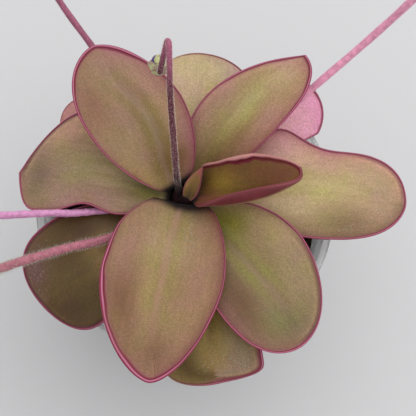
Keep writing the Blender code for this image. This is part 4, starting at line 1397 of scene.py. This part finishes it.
def make_crown():
    """The rootstock, ringed with the scars of old leaves, and painted near black as the heart's shade."""
    turns = circle(CROWN_ANGLES)
    rows = []
    for height in np.linspace(CROWN_PROFILE[0][0] + 0.2, CROWN_PROFILE[-1][0], 60):
        radius = np.interp(height, *zip(*CROWN_PROFILE)) - 0.25
        scale = 0.2 * np.sin(7 * turns + 1.1 * height) * np.sin(1.6 * height)
        rows.append(ring_points(radius + scale, turns, height))
    mesh = mesh_from("crown_body", np.vstack(rows), tube_faces(len(rows), CROWN_ANGLES))
    tidy(mesh)
    graph = Graph("crown_finish", Roughness=0.8, Specular_IOR_Level=0.08)
    scars = graph.fade(graph.noise(1.8, 3.0), 0.35, 0.65)
    # Painted shade: near black for the shade deep in the plant's heart, a little lighter on the scars
    graph.colour(graph.mix(scars, (0.006, 0.002, 0.003), (0.022, 0.007, 0.009)))
    graph.bump(graph.noise(0.6, 3.0), 0.3, 0.6)
    add_piece("crown_body", mesh, graph.material, ["crown"])


# ---------------------------------------------------------------- stage, light and camera

FLOOR_REACH = 3.0
DAY = (1.0, 1.0, 1.0, 1.0)
DAY_STRENGTH = 0.75
LAMP_PLACE = (0.32, 0.38, 0.95)
LAMP_TARGET = (0.0, 0.0, 0.075)
LAMP_SIZE = 1.9
LAMP_ENERGY = 9.0
CAMERA_ELEVATION = 75.0
CAMERA_DISTANCE = 0.36
CAMERA_TARGET = (0.0069, -0.0012, 0.070)
CAMERA_LENS = 103.4
SENSOR_WIDTH = 36.0


def make_stage():
    far = FLOOR_REACH
    mesh = bpy.data.meshes.new("floor")
    mesh.from_pydata([(-far, -far, 0), (far, -far, 0), (far, far, 0), (-far, far, 0)], [], [[0, 1, 2, 3]])
    floor = add_object("floor", mesh)
    graph = Graph(
        "floor_finish", Roughness=0.9, Specular_IOR_Level=0.1, Base_Color=(0.62, 0.62, 0.63, 1.0)
    )
    mesh.materials.append(graph.material)


def aim(made, target):
    made.rotation_euler = (Vector(target) - made.location).to_track_quat("-Z", "Y").to_euler()


def make_light():
    """Soft light from all round, and one large lamp behind and above the plant."""
    world = bpy.data.worlds.new("studio")
    bpy.context.scene.world = world
    world.use_nodes = True
    world.node_tree.nodes["Background"].inputs["Color"].default_value = DAY
    world.node_tree.nodes["Background"].inputs["Strength"].default_value = DAY_STRENGTH
    light = bpy.data.lights.new("key", "AREA")
    light.shape = "DISK"
    light.size = LAMP_SIZE
    light.energy = LAMP_ENERGY
    lamp = add_object("key", light)
    lamp.location = LAMP_PLACE
    aim(lamp, LAMP_TARGET)


def make_camera():
    lift = math.radians(CAMERA_ELEVATION)
    target = Vector(CAMERA_TARGET)
    camera = bpy.data.cameras.new("camera")
    camera.lens = CAMERA_LENS
    camera.sensor_width = SENSOR_WIDTH
    camera.clip_start = 0.01
    made = add_object("camera", camera)
    made.location = target + CAMERA_DISTANCE * Vector((0, -math.cos(lift), math.sin(lift)))
    aim(made, target)
    bpy.context.scene.camera = made


def main():
    bpy.context.scene.view_settings.view_transform = "Standard"
    make_camera()
    make_leaves()
    make_stalks()
    make_flowers()
    make_bud()
    make_pot()
    make_mix()
    make_crown()
    make_stage()
    make_light()


main()
